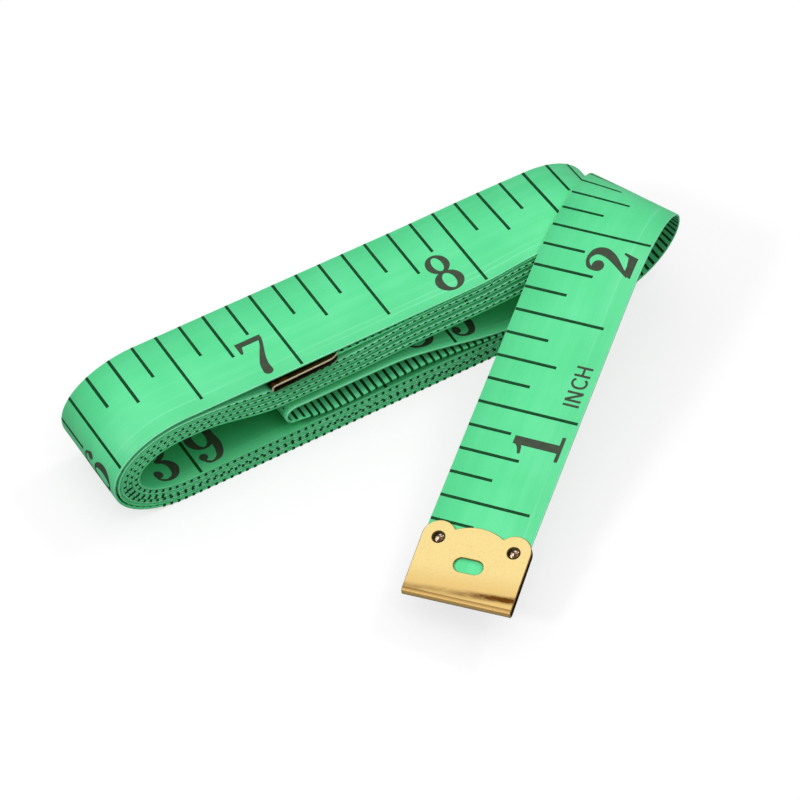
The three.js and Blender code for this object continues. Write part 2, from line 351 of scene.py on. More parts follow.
    def outward(self) -> np.ndarray:
        """The second strand, from the inner fold to the end in the rear clip, each point with its lift."""
        turns = []
        for turn in reversed(range(1, self.double_turns)):
            left = 2 * turn
            right = left + 1
            turns.append(self.with_lift([
                self.right_turn(right),
                self.top_run(self.right_centre, self.left_round, left, right, self.dipped_depth(right)),
                self.left_turn(left)[::-1],
                self.bottom_run(self.left_round, self.right_centre, left),
            ], False))
        turns.append(self.with_lift([self.right_turn(1), self.rear_run()], True))
        return np.vstack(turns)

    def lower_leaf(self, x: np.ndarray | float) -> np.ndarray | float:
        """Height of the lower leaf of the inner fold.

        Args:
            x: Places along the winding.

        Returns:
            The height of the leaf's middle line there.
        """
        (rise, *rises), (sag, *sags), (tip, *tips) = self.lower_rise, self.lower_sag, self.lower_tip
        start = self.bottom + (2 * self.double_turns - 1) * self.pitch
        return start + (rise * smoothstep(x, *rises) - sag * swell(x, *sags)) + tip * smoothstep(x, *tips)

    def upper_leaf(self, x: np.ndarray | float) -> np.ndarray | float:
        """Height of the upper leaf of the inner fold.

        Args:
            x: Places along the winding.

        Returns:
            The height of the leaf's middle line there.
        """
        (rise, *rises), (tip, *tips) = self.upper_rise, self.upper_tip
        start = self.bottom + 2 * self.double_turns * self.pitch
        return start + rise * smoothstep(x, *rises) + tip * smoothstep(x, *tips)

    def inner_fold(self) -> np.ndarray:
        """The two leaves, with the round fold that joins them."""
        reach = self.fold_place + self.fold_reach
        radius = float(self.upper_leaf(reach) - self.lower_leaf(reach)) / 2
        centre = self.fold_place + radius
        x = even_steps(self.right_centre, centre, self.straight_spacing)
        low = float(self.lower_leaf(centre))
        high = float(self.upper_leaf(centre))
        angle = np.linspace(0.0, math.pi, self.fold_steps + 1)[1:-1]
        turn_x = centre - radius * np.sin(angle)
        turn_z = (high + low) / 2 - (high - low) / 2 * np.cos(angle)
        back = x[::-1]
        return self.with_lift([
            np.column_stack([x, self.lower_leaf(x)]),
            np.column_stack([turn_x, turn_z]),
            np.column_stack([back, self.upper_leaf(back)]),
        ], False)


@dataclass
class FreeEnd:
    """The free end's route: it turns about straight lines that lean across the tape, as a bent sheet does."""

    cloth: Cloth
    start: float = 60.1
    length: float = 87.05
    loop_angle: float = 188.54
    loop_middle: float = 19.17
    loop_half: float = 19.89
    shoulder_angle: float = 15.83
    shoulder_middle: float = 39.22
    shoulder_half: float = 7.53
    lean_angle: float = 21.56
    lean_middle: float = 21.38
    lean_half: float = 20.06
    arch: tuple[float, float, float] = (-0.313, -0.504, 0.7)
    arch_middle: float = 42.0
    arch_half: float = 38.0
    steps: int = 176

    def bend_rate(self, place: float) -> float:
        """How fast the tape turns.

        Args:
            place: The distance from where it leaves the winding.

        Returns:
            Radians a millimetre.
        """
        loop = math.radians(self.loop_angle) / self.loop_half * swell(place, self.loop_middle, self.loop_half)
        angle = math.radians(self.shoulder_angle)
        shoulder = angle / self.shoulder_half * swell(place, self.shoulder_middle, self.shoulder_half)
        return float(loop + shoulder)

    def lean(self, place: float) -> float:
        """The angle by which the bending line leans away from square across the tape."""
        return math.radians(self.lean_angle) * float(swell(place, self.lean_middle, self.lean_half))

    def sections(self) -> tuple[np.ndarray, np.ndarray, np.ndarray]:
        """Walks from the winding out to the tip.

        Returns:
            The middle line's points, the vectors from the middle to the far edge, and the lean's tangent.
        """
        step = self.length / self.steps
        middle = Vector((self.start, self.cloth.width / 2, self.cloth.thickness / 2))
        along = Vector((1.0, 0.0, 0.0))
        across = Vector((0.0, 1.0, 0.0))
        middles, halves, tangents = [], [], []
        for index in range(self.steps + 1):
            place = index * step
            lean = self.lean(place)
            crease = across * math.cos(lean) - along * math.sin(lean)
            middles.append(tuple(middle))
            halves.append(tuple(crease * (self.cloth.width / 2 / math.cos(lean))))
            tangents.append(math.tan(lean))
            place += step / 2
            lean = self.lean(place)
            axis = across * math.cos(lean) - along * math.sin(lean)
            turn = Matrix.Rotation(-self.bend_rate(place) * step * math.cos(lean), 3, axis)
            middle = middle + along * (step / 2)
            along = turn @ along
            across = turn @ across
            middle = middle + along * (step / 2)
        places = np.linspace(0.0, self.length, self.steps + 1)
        arched = swell(places, self.arch_middle, self.arch_half)[:, None] * np.array(self.arch)
        return np.array(middles) + arched, np.array(halves), np.array(tangents)


@dataclass(frozen=True)
class Anchor:
    """A place on the winding where the print's position is known, and how far it keeps its scale either way."""

    inches: float
    x: float
    z: float
    before: float = 0.0
    after: float = 0.0


class Face(Enum):
    """The two printed faces of the tape."""

    INCHES = 1
    CENTIMETRES = -1


class Ribbon:
    """The whole tape as a row of straight lines across it, from the zero end to the far end."""

    lean_rounds = 6

    def __init__(self, winding: Winding, free_end: FreeEnd, anchors: Sequence[Anchor]) -> None:
        """Joins the free end to the winding and measures along the tape.

        Args:
            winding: The wound part's route.
            free_end: The free part's route.
            anchors: Known places of the print, in order along the tape.
        """
        self.cloth = winding.cloth
        middles, halves, tangents = free_end.sections()
        route = np.vstack([winding.inward(free_end.start)[1:], winding.inner_fold(), winding.outward()])
        x, z, lift = route.T
        across = np.full_like(x, self.cloth.width / 2)
        flat = np.column_stack([x, across, z + lift / 2])
        half = np.column_stack([np.zeros_like(x), across, -lift / 2])
        self.middle = np.vstack([middles[::-1], flat])
        self.half = np.vstack([halves[::-1], half])
        self.tangent = np.concatenate([tangents[::-1], np.zeros(len(flat))])
        self._drop_repeats()
        steps = np.linalg.norm(np.diff(self.middle, axis=0), axis=1)
        self.place = np.concatenate([[0.0], np.cumsum(steps)])
        self.normal = self._normals()
        self.scale_place, self.scale_print = self._match_print(anchors)

    def _drop_repeats(self) -> None:
        """Leaves out a line that repeats the one before it."""
        apart = np.linalg.norm(np.diff(self.middle, axis=0), axis=1)
        keep = np.concatenate([[True], apart > self.cloth.thickness / 10])
        self.middle, self.half, self.tangent = self.middle[keep], self.half[keep], self.tangent[keep]

    def _normals(self) -> np.ndarray:
        """Unit normals out of the inch face at every line."""
        along = np.gradient(self.middle, self.place, axis=0)
        normal = np.cross(along, self.half)
        return normal / np.linalg.norm(normal, axis=1, keepdims=True)

    def _match_print(self, anchors: Sequence[Anchor]) -> tuple[np.ndarray, np.ndarray]:
        """Pairs places along the middle line with positions of the print.

        Args:
            anchors: Known places of the print, in order along the tape.

        Returns:
            The places and the print's positions there, both in millimetres.
        """
        first = anchors[0]
        places = [0.0]
        prints = [first.inches * INCH - first.before]
        for anchor in anchors:
            place = self._nearest(anchor, places[-1] + self.cloth.width)
            for offset in sorted({-anchor.before, 0.0, anchor.after}):
                if place + offset > places[-1] + self.cloth.thickness:
                    places.append(place + offset)
                    prints.append(anchor.inches * INCH + offset)
        places.append(float(self.place[-1]))
        prints.append(self.cloth.length)
        stretch = np.diff(prints) / np.diff(places)
        log.info("print against route: %s", ", ".join(f"{value:.4f}" for value in stretch))
        return np.array(places), np.array(prints)

    def _nearest(self, anchor: Anchor, first: float) -> float:
        """The place on the middle line nearest to an anchor.

        Args:
            anchor: The known place.
            first: Where along the tape the search starts.

        Returns:
            The place along the middle line.
        """
        line = self.middle[:, [0, 2]]
        steps = np.diff(line, axis=0)
        lengths = np.maximum(np.sum(steps**2, axis=1), NO_LENGTH)
        offset = np.array([anchor.x, anchor.z]) - line[:-1]
        share = np.clip(np.sum(offset * steps, axis=1) / lengths, 0.0, 1.0)
        apart = np.linalg.norm(offset - steps * share[:, None], axis=1)
        apart[self.place[:-1] < first] = np.inf
        near = int(np.argmin(apart))
        log.info("print at %.2f in: %.1f mm along, %.2f mm off", anchor.inches, self.place[near], apart[near])
        return float(self.place[near] + share[near] * (self.place[near + 1] - self.place[near]))

    def print_at(self, place: np.ndarray) -> np.ndarray:
        """The print's position at places along the middle line."""
        return np.interp(place, self.scale_place, self.scale_print)

    def place_of(self, printed: np.ndarray) -> np.ndarray:
        """The place along the middle line of positions of the print."""
        return np.interp(printed, self.scale_print, self.scale_place)

    def surface(self, along: np.ndarray, across: np.ndarray, height: np.ndarray | float) -> np.ndarray:
        """Points on the tape in its bent shape.

        Args:
            along: Positions of the print, in millimetres from the zero end.
            across: Distance from the middle line towards the far edge.
            height: Distance from the middle of the thickness, positive out of the inch face.

        Returns:
            One point a row.
        """
        flat = self.place_of(along)
        place = flat
        for _ in range(self.lean_rounds):
            place = flat - across * np.interp(place, self.place, self.tangent)
        share = 2.0 * across / self.cloth.width
        point = [
            np.interp(place, self.place, self.middle[:, axis])
            + share * np.interp(place, self.place, self.half[:, axis])
            + height * np.interp(place, self.place, self.normal[:, axis])
            for axis in range(3)
        ]
        return np.column_stack(point)

    def end_frame(self, last: bool) -> Matrix:
        """A clip's frame at an end: X into the tape, Y across it, Z out of its upper face.

        Args:
            last: True for the end in the rear clip, False for the zero end.

        Returns:
            The frame as a matrix, in millimetres.
        """
        index, inner = (-1, -2) if last else (0, 1)
        origin = Vector(self.middle[index])
        x = (Vector(self.middle[inner]) - origin).normalized()
        y = Vector(self.half[index]).normalized()
        z = x.cross(y)
        return Matrix.LocRotScale(origin, Matrix((x, y, z)).transposed().to_quaternion(), None)


Pair = tuple[float, float]
Outline = list[Pair]


def arc(centre: Pair, radii: Pair, angles: Iterable[float]) -> Outline:
    """Points on an oval.

    Args:
        centre: Its middle.
        radii: Half its width and half its height.
        angles: Where the points lie, in radians from its right.

    Returns:
        The points.
    """
    return [(centre[0] + radii[0] * math.cos(a), centre[1] + radii[1] * math.sin(a)) for a in angles]


@dataclass(frozen=True)
class Ring:
    """An oval stroke, heavier at its sides than at its top and foot."""

    centre: Pair
    outer: Pair
    inner: Pair
    half_steps: int = 14

    def outlines(self) -> list[Outline]:
        """Two half rings that meet above and below the centre."""
        halves = []
        for start in (-90.0, 90.0):
            angles = np.radians(np.linspace(start, start + 180.0, self.half_steps + 1))
            halves.append(arc(self.centre, self.outer, angles) + arc(self.centre, self.inner, angles[::-1]))
        return halves


@dataclass(frozen=True)
class Disc:
    """A round end of a stroke."""

    centre: Pair
    radius: float
    steps: int = 18

    def outlines(self) -> list[Outline]:
        """One circle."""
        return [arc(self.centre, (self.radius, self.radius), np.linspace(0.0, 2.0 * math.pi, self.steps + 1)[:-1])]


@dataclass(frozen=True)
class Block:
    """A straight-sided part of a stroke, given by its corners."""

    corners: tuple[Pair, ...]

    def outlines(self) -> list[Outline]:
        """The corners as they are."""
        return [list(self.corners)]


@dataclass(frozen=True)
class Brush:
    """A curved stroke through points, each with its own width."""

    points: tuple[Pair, ...]
    widths: tuple[float, ...]
    steps: int = 4

    def outlines(self) -> list[Outline]:
        """Short pieces from one point of the smooth middle line to the next."""
        knots = np.column_stack([np.array(self.points), np.array(self.widths)])
        padded = np.vstack([2 * knots[0] - knots[1], knots, 2 * knots[-1] - knots[-2]])
        line = []
        for index in range(1, len(padded) - 2):
            before, start, end, after = padded[index - 1:index + 3]
            for t in np.linspace(0.0, 1.0, self.steps + 1)[:-1]:
                straight = (end - before) * t
                square = (2 * before - 5 * start + 4 * end - after) * t**2
                cube = (3 * start - before - 3 * end + after) * t**3
                line.append((2 * start + straight + square + cube) / 2)
        line.append(padded[-2])
        line = np.array(line)
        along = np.gradient(line[:, :2], axis=0)
        side = np.column_stack([-along[:, 1], along[:, 0]]) / np.linalg.norm(along, axis=1, keepdims=True)
        left = line[:, :2] + side * line[:, 2:] / 2
        right = line[:, :2] - side * line[:, 2:] / 2
        return [
            [tuple(right[i]), tuple(right[i + 1]), tuple(left[i + 1]), tuple(left[i])]
            for i in range(len(line) - 1)
        ]


Stroke = Ring | Disc | Block | Brush


def box_stroke(left: float, low: float, right: float, high: float) -> Block:
    """An upright rectangle as a stroke."""
    return Block(((left, low), (right, low), (right, high), (left, high)))


def turned(strokes: Iterable[Stroke], width: float) -> list[Stroke]:
    """The same strokes turned upside down.

    Args:
        strokes: The strokes of a numeral.
        width: The numeral's width.

    Returns:
        Strokes that read as the numeral turned by half a turn.
    """
    result: list[Stroke] = []
    for stroke in strokes:
        if isinstance(stroke, (Ring, Disc)):
            result.append(replace(stroke, centre=(width - stroke.centre[0], 1 - stroke.centre[1])))
        elif isinstance(stroke, Brush):
            result.append(replace(stroke, points=tuple((width - x, 1 - y) for x, y in stroke.points)))
        else:
            result.append(replace(stroke, corners=tuple((width - x, 1 - y) for x, y in stroke.corners)))
    return result


class NumeralFace:
    """Heavy numerals with thin joins and round ends, drawn one unit high, and small plain capitals."""

    width = 0.62
    gap = 0.02
    stretch = 1.06
    six = (
        Ring((0.315, 0.315), (0.29, 0.315), (0.12, 0.262)),
        Brush(
            ((0.49, 0.87), (0.42, 0.955), (0.31, 0.972), (0.16, 0.88), (0.085, 0.62), (0.10, 0.33)),
            (0.05, 0.06, 0.06, 0.13, 0.165, 0.13),
        ),
        Disc((0.465, 0.80), 0.088),
    )
    strokes: dict[str, Sequence[Stroke]] = {
        "0": (Ring((0.31, 0.5), (0.295, 0.5), (0.125, 0.445)),),
        "1": (
            box_stroke(0.235, 0.03, 0.405, 0.985),
            box_stroke(0.06, 0.0, 0.58, 0.075),
            Brush(((0.33, 0.96), (0.21, 0.845), (0.06, 0.80)), (0.10, 0.09, 0.055)),
        ),
        "2": (
            Disc((0.175, 0.72), 0.125),
            Brush(
                ((0.075, 0.72), (0.12, 0.89), (0.29, 0.965), (0.47, 0.88), (0.515, 0.71), (0.42, 0.50),
                 (0.22, 0.26), (0.07, 0.07)),
                (0.06, 0.085, 0.075, 0.15, 0.20, 0.175, 0.10, 0.06),
            ),
            Block(((0.04, 0.0), (0.52, 0.0), (0.605, 0.30), (0.555, 0.31), (0.50, 0.20), (0.30, 0.16), (0.10, 0.16))),
        ),
        "3": (
            Disc((0.145, 0.79), 0.088),
            Brush(
                ((0.075, 0.81), (0.14, 0.93), (0.29, 0.972), (0.43, 0.90), (0.465, 0.765), (0.40, 0.62), (0.24, 0.54)),
                (0.05, 0.06, 0.06, 0.13, 0.165, 0.11, 0.05),
            ),
            Brush(
                ((0.24, 0.54), (0.43, 0.47), (0.52, 0.29), (0.45, 0.10), (0.28, 0.028), (0.13, 0.07), (0.065, 0.19)),
                (0.05, 0.12, 0.185, 0.13, 0.06, 0.06, 0.05),
            ),
            Disc((0.145, 0.21), 0.098),
        ),
        "4": (
            Block(((0.345, 1.0), (0.02, 0.31), (0.02, 0.25), (0.09, 0.25), (0.40, 0.90), (0.40, 1.0))),
            box_stroke(0.04, 0.25, 0.61, 0.325),
            box_stroke(0.34, 0.03, 0.51, 1.0),
            box_stroke(0.23, 0.0, 0.61, 0.06),
        ),
        "5": (
            Block(((0.10, 0.80), (0.50, 0.83), (0.55, 0.985), (0.10, 0.985))),
            box_stroke(0.10, 0.50, 0.155, 0.90),
            Brush(
                ((0.12, 0.52), (0.23, 0.60), (0.36, 0.60), (0.49, 0.49), (0.52, 0.30), (0.45, 0.10), (0.28, 0.028),
                 (0.13, 0.07), (0.065, 0.19)),
                (0.05, 0.06, 0.08, 0.15, 0.185, 0.13, 0.06, 0.06, 0.05),
            ),
            Disc((0.145, 0.21), 0.098),
        ),
        "6": six,
        "7": (
            Block(((0.05, 0.86), (0.555, 0.86), (0.59, 0.985), (0.05, 0.985))),
            Block(((0.05, 0.70), (0.10, 0.70), (0.15, 0.86), (0.15, 0.93), (0.05, 0.93))),
            Brush(
                ((0.555, 0.93), (0.50, 0.74), (0.39, 0.50), (0.31, 0.28), (0.295, 0.10)),
                (0.07, 0.07, 0.11, 0.16, 0.19),
            ),
            Disc((0.295, 0.098), 0.098),
        ),
        "8": (
            Ring((0.31, 0.745), (0.235, 0.25), (0.10, 0.19)),
            Ring((0.31, 0.27), (0.285, 0.27), (0.12, 0.205)),
        ),
        "9": turned(six, width),
        "I": (box_stroke(0.10, 0.0, 0.24, 1.0),),
        "N": (
            box_stroke(0.06, 0.0, 0.20, 1.0),
            box_stroke(0.56, 0.0, 0.70, 1.0),
            Block(((0.06, 1.0), (0.54, 0.0), (0.70, 0.0), (0.22, 1.0))),
        ),
        "C": (
            Brush(
                ((0.66, 0.78), (0.56, 0.90), (0.38, 0.93), (0.19, 0.80), (0.12, 0.50), (0.19, 0.20), (0.38, 0.07),
                 (0.56, 0.10), (0.66, 0.22)),
                (0.14,) * 9,
            ),
        ),
        "H": (
            box_stroke(0.06, 0.0, 0.20, 1.0),
            box_stroke(0.56, 0.0, 0.70, 1.0),
            box_stroke(0.20, 0.43, 0.56, 0.57),
        ),
    }
    advances = {"I": 0.34, "N": 0.82, "C": 0.76, "H": 0.82}

    def advance(self, character: str) -> float:
        """How far the next character stands, for one unit of height."""
        return self.advances.get(character, self.width + self.gap) * self.stretch


@dataclass
class Drawing:
    """A flat figure made of triangles, whose points go onto the bent tape."""

    points: np.ndarray
    triangles: np.ndarray


def fill(
    outlines: Sequence[Outline], cuts: Iterable[float], holes: Sequence[Outline] = (), beyond: float = 0.1,
    one_point: float = 1e-5,
) -> Drawing:
    """Fills overlapping outlines as one figure and cuts it along upright lines, so that it can bend.

    Args:
        outlines: Closed outlines that may overlap.
        cuts: Where the upright lines stand.
        holes: Closed outlines that stay empty.
        beyond: How far the upright lines reach beyond the figure.
        one_point: How near two points lie that count as one.

    Returns:
        The figure's triangles.
    """
    points: list[Vector] = []
    edges: list[tuple[int, int]] = []
    faces: list[list[int]] = []
    for outline in [*outlines, *holes]:
        x, y = np.array(outline).T
        area = float(np.sum(x * np.roll(y, -1) - y * np.roll(x, -1)))
        ordered = outline if area > 0 else outline[::-1]
        faces.append(list(range(len(points), len(points) + len(ordered))))
        points.extend(Vector(point) for point in ordered)
    heights = [point.y for point in points]
    widths = [point.x for point in points]
    for cut in cuts:
        if min(widths) < cut < max(widths):
            edges.append((len(points), len(points) + 1))
            points.append(Vector((cut, min(heights) - beyond)))
            points.append(Vector((cut, max(heights) + beyond)))
    found, _, triangles, _, _, sources = delaunay_2d_cdt(points, edges, faces, 0, one_point)
    kept = [
        triangle for triangle, source in zip(triangles, sources)
        if source and not any(index >= len(outlines) for index in source)
    ]
    used = sorted({index for triangle in kept for index in triangle})
    order = {old: new for new, old in enumerate(used)}
    return Drawing(
        np.array([tuple(found[index]) for index in used]),
        np.array([[order[index] for index in triangle] for triangle in kept]),
    )


class PrintPlate:
    """Collects printed figures in the flat and lays them on one face of the tape."""

    row_length = 1.5

    def __init__(self, ribbon: Ribbon, face: Face, ink_height: float) -> None:
        """Starts an empty plate.

        Args:
            ribbon: The tape.
            face: Which of its faces is printed.
            ink_height: How far the ink's outside stands off the face.
        """
        self.ribbon = ribbon
        self.face = face
        self.ink_height = ink_height
        self.half_thickness = ribbon.cloth.thickness / 2
        self.along: list[np.ndarray] = []
        self.across: list[np.ndarray] = []
        self.height: list[np.ndarray] = []
        self.faces: list[np.ndarray] = []
        self.count = 0

    def add(self, along: np.ndarray, up: np.ndarray, height: np.ndarray | float, faces: np.ndarray) -> None:
        """Adds one figure.

        Args:
            along: Positions of the print.
            up: Distance from the tape's middle line towards the edge that carries the marks.
            height: Height of the ink from the middle of the thickness.
            faces: Corners of the figure's faces.
        """
        side = self.face.value
        self.along.append(along)
        self.across.append(side * up)
        self.height.append(side * np.broadcast_to(height, along.shape))
        self.faces.append(faces + self.count)
        self.count += len(along)

    def figure(self, drawing: Drawing, start: float, foot: float, size: float) -> None:
        """Adds a drawing that is one unit high.

        Args:
            drawing: The drawing.
            start: Position of the print at its left.
            foot: Distance of its foot from the middle line, towards the marked edge.
            size: Its height.
        """
        along = start + drawing.points[:, 0] * size
        up = foot + drawing.points[:, 1] * size
        self.add(along, up, self.half_thickness + self.ink_height, drawing.triangles)

    def mark(self, position: float, length: float, stroke: float, bleed: float) -> None:
        """Adds a mark from the edge inwards, with the bit of its ink that wets the cut edge.

        Args:
            position: Position of the print at its middle.
            length: Its length across the tape.
            stroke: Its width along the tape.
            bleed: How far the ink goes down the cut edge.
        """
        half = self.ribbon.cloth.width / 2
        chamfer = self.ribbon.cloth.edge_chamfer
        face_height = self.half_thickness + self.ink_height
        rows = max(1, math.ceil(length / self.row_length))
        up = np.linspace(half - chamfer, half - length, rows + 1)
        height = np.full(rows + 1, face_height)
        if bleed:
            up = np.concatenate([[half + self.ink_height] * 2, up])
            edge = self.half_thickness - chamfer
            height = np.concatenate([[edge - bleed, edge], height])
        count = len(up)
        along = np.concatenate([np.full(count, position - stroke / 2), np.full(count, position + stroke / 2)])
        first = np.arange(count - 1)
        faces = np.column_stack([first + 1, first + 1 + count, first + count, first])
        self.add(along, np.tile(up, 2), np.tile(height, 2), faces)

    def mesh(self, name: str) -> bpy.types.Mesh:
        """Lays every figure on the tape and makes one mesh of them.

        Args:
            name: The mesh's name.

        Returns:
            The mesh in the winding's frame.
        """
        points = self.ribbon.surface(
            np.concatenate(self.along), np.concatenate(self.across), np.concatenate(self.height)
        )
        return mesh_of(name, points, [face for block in self.faces for face in block.tolist()])


@dataclass(frozen=True)
class PrintSizes:
    """The tape's print, as it is on both faces."""

    ink_height: float = 0.012
    bleed: float = 0.28
    bled_parts: tuple[tuple[float, float], ...] = ((83.0, 140.0), (318.0, 547.0), (600.0, 863.5), (1252.0, 1322.0))
    eighths: int = 8
    inch_stroke: float = 0.38
    whole_inch: float = 12.5
    half_inch: float = 11.15
    quarter_inch: float = 7.5
    eighth_inch: float = 5.35
    numeral_height: float = 6.0
    numeral_foot: float = -5.5
    gap_before: float = 1.80
    gap_after: float = 0.35
    unit_height: float = 2.0
    unit_start: float = 1.07
    millimetre_stroke: float = 0.36
    millimetre: float = 3.4
    five_millimetres: float = 5.0
    centimetre: float = 12.5
    centimetre_numeral_height: float = 4.4
    centimetre_numeral_foot: float = -5.2
    centimetre_gap: float = 0.5
    bend_cut: float = 0.55


class Tape:
    """The printed strip: its coated cloth, and the ink on both faces.

    The corners of its section are counted from the near edge over the inch face and back under it. The edge corners
    begin the cut edge, with its bevel to the back, and the rim corners begin the bevel to the inch face.
    """

    edge_corners = {3, 4, 7, 8}
    rim_corners = {2, 9}
    sharp_edge = 60.0

    def __init__(self, ribbon: Ribbon, sizes: PrintSizes, numerals: NumeralFace) -> None:
        """Keeps what the meshes are made from.

        Args:
            ribbon: The tape's bent shape.
            sizes: The print's sizes.
            numerals: The numerals' shapes.
        """
        self.ribbon = ribbon
        self.sizes = sizes
        self.numerals = numerals
        self.drawings: dict[str, Drawing] = {}

    def cloth_mesh(self) -> bpy.types.Mesh:
        """Makes the closed strip, with chamfered edges and its print positions as UVs in metres."""
        ribbon, cloth = self.ribbon, self.ribbon.cloth
        half, thick, chamfer = cloth.width / 2, cloth.thickness / 2, cloth.edge_chamfer
        inner = half - chamfer
        ring = [
            (-inner, thick), (0.0, thick), (inner, thick), (half, thick - cloth.skin), (half, chamfer - thick),
            (inner, -thick), (0.0, -thick), (-inner, -thick), (-half, chamfer - thick), (-half, thick - cloth.skin),
        ]
        share = np.array([across / half for across, _ in ring])
        height = np.array([value for _, value in ring])
        points = (
            ribbon.middle[:, None, :]
            + ribbon.half[:, None, :] * share[None, :, None]
            + ribbon.normal[:, None, :] * height[None, :, None]
        ).reshape(-1, 3)
        count, corners = len(ribbon.middle), len(ring)
        faces = []
        for line in range(count - 1):
            for corner in range(corners):
                following = (corner + 1) % corners
                a, b = line * corners + corner, line * corners + following
                faces.append((a, a + corners, b + corners, b))
        faces.append(tuple(range(corners)))
        faces.append(tuple(reversed(range((count - 1) * corners, count * corners))))
        mesh = mesh_of("tape_cloth", points, faces)
        along = ribbon.print_at(ribbon.place)[:, None] + ribbon.tangent[:, None] * share[None, :] * half
        across = np.tile(share * half, (count, 1))
        lay_flat(mesh, "tape_lengths", np.column_stack([along.ravel(), across.ravel()]))
        finish = [
            1 if corner in self.edge_corners else 2 if corner in self.rim_corners else 0 for corner in range(corners)
        ]
        mesh.polygons.foreach_set("material_index", finish * (count - 1) + [1, 1])
        mesh.shade_smooth()
        mesh.set_sharp_from_angle(angle=math.radians(self.sharp_edge))
        return mesh

    def drawing(self, character: str) -> Drawing:
        """A character's triangles, cut so finely that they bend with the tape.

        Args:
            character: A figure or a capital.

        Returns:
            Its drawing, one unit high.
        """
        if character not in self.drawings:
            outlines = [outline for stroke in self.numerals.strokes[character] for outline in stroke.outlines()]
            step = self.sizes.bend_cut / self.sizes.numeral_height
            drawing = fill(outlines, np.arange(step / 2, 1.0, step))
            drawing.points[:, 0] *= self.numerals.stretch
            self.drawings[character] = drawing
        return self.drawings[character]

    def write(self, plate: PrintPlate, text: str, start: float, foot: float, size: float) -> float:
        """Writes characters one after another.

        Args:
            plate: The face to write on.
            text: The characters.
            start: Position of the print at the first one's left.
            foot: Distance of their feet from the middle line, towards the marked edge.
            size: Their height.

        Returns:
            The position after the last one.
        """
        for character in text:
            plate.figure(self.drawing(character), start, foot, size)
            start += self.numerals.advance(character) * size
        return start

    def inch_marks(self) -> PrintPlate:
        """The inch face: eighths from the far edge, longer at quarters, halves and whole inches."""
        sizes = self.sizes
        plate = PrintPlate(self.ribbon, Face.INCHES, sizes.ink_height)
        lengths = {8: sizes.whole_inch, 4: sizes.half_inch, 2: sizes.quarter_inch, 1: sizes.eighth_inch}
        inches = round(self.ribbon.cloth.length / INCH)
        for eighth in range(1, inches * sizes.eighths):
            length = next(lengths[part] for part in lengths if eighth % part == 0)
            plate.mark(eighth * INCH / sizes.eighths, length, sizes.inch_stroke, 0.0)
        return plate

    def inch_numerals(self) -> PrintPlate:
        """The inch face's numerals, one figure before its line or two on either side of it, and the unit."""
        sizes = self.sizes
        plate = PrintPlate(self.ribbon, Face.INCHES, sizes.ink_height)
        height, foot = sizes.numeral_height, sizes.numeral_foot
        width = self.numerals.width * self.numerals.stretch * height
        for inch in range(1, round(self.ribbon.cloth.length / INCH)):
            text = str(inch)
            line = inch * INCH
            self.write(plate, text[0], line - sizes.gap_before - width, foot, height)
            if len(text) > 1:
                self.write(plate, text[1], line + sizes.gap_after, foot, height)
        self.write(plate, "INCH", sizes.unit_start * INCH, foot, sizes.unit_height)
        return plate

    def centimetre_marks(self) -> PrintPlate:
        """The back face: millimetres from the near edge, longer at every fifth and tenth."""
        sizes = self.sizes
        plate = PrintPlate(self.ribbon, Face.CENTIMETRES, sizes.ink_height)
        for millimetre in range(1, math.floor(self.ribbon.cloth.length)):
            length = sizes.millimetre
            if millimetre % 10 == 0:
                length = sizes.centimetre
            elif millimetre % 5 == 0:
                length = sizes.five_millimetres
            bled = any(low < millimetre < high for low, high in sizes.bled_parts)
            plate.mark(float(millimetre), length, sizes.millimetre_stroke, sizes.bleed if bled else 0.0)
        return plate

    def centimetre_numerals(self) -> PrintPlate:
        """The numerals of the back face, each before its line."""
        sizes = self.sizes
        plate = PrintPlate(self.ribbon, Face.CENTIMETRES, sizes.ink_height)
        height, foot = sizes.centimetre_numeral_height, sizes.centimetre_numeral_foot
        for centimetre in range(1, math.floor(self.ribbon.cloth.length / 10)):
            text = str(centimetre)
            width = len(text) * self.numerals.advance(text[0]) * height
            self.write(plate, text, centimetre * 10 - sizes.centimetre_gap - width, foot, height)
        return plate


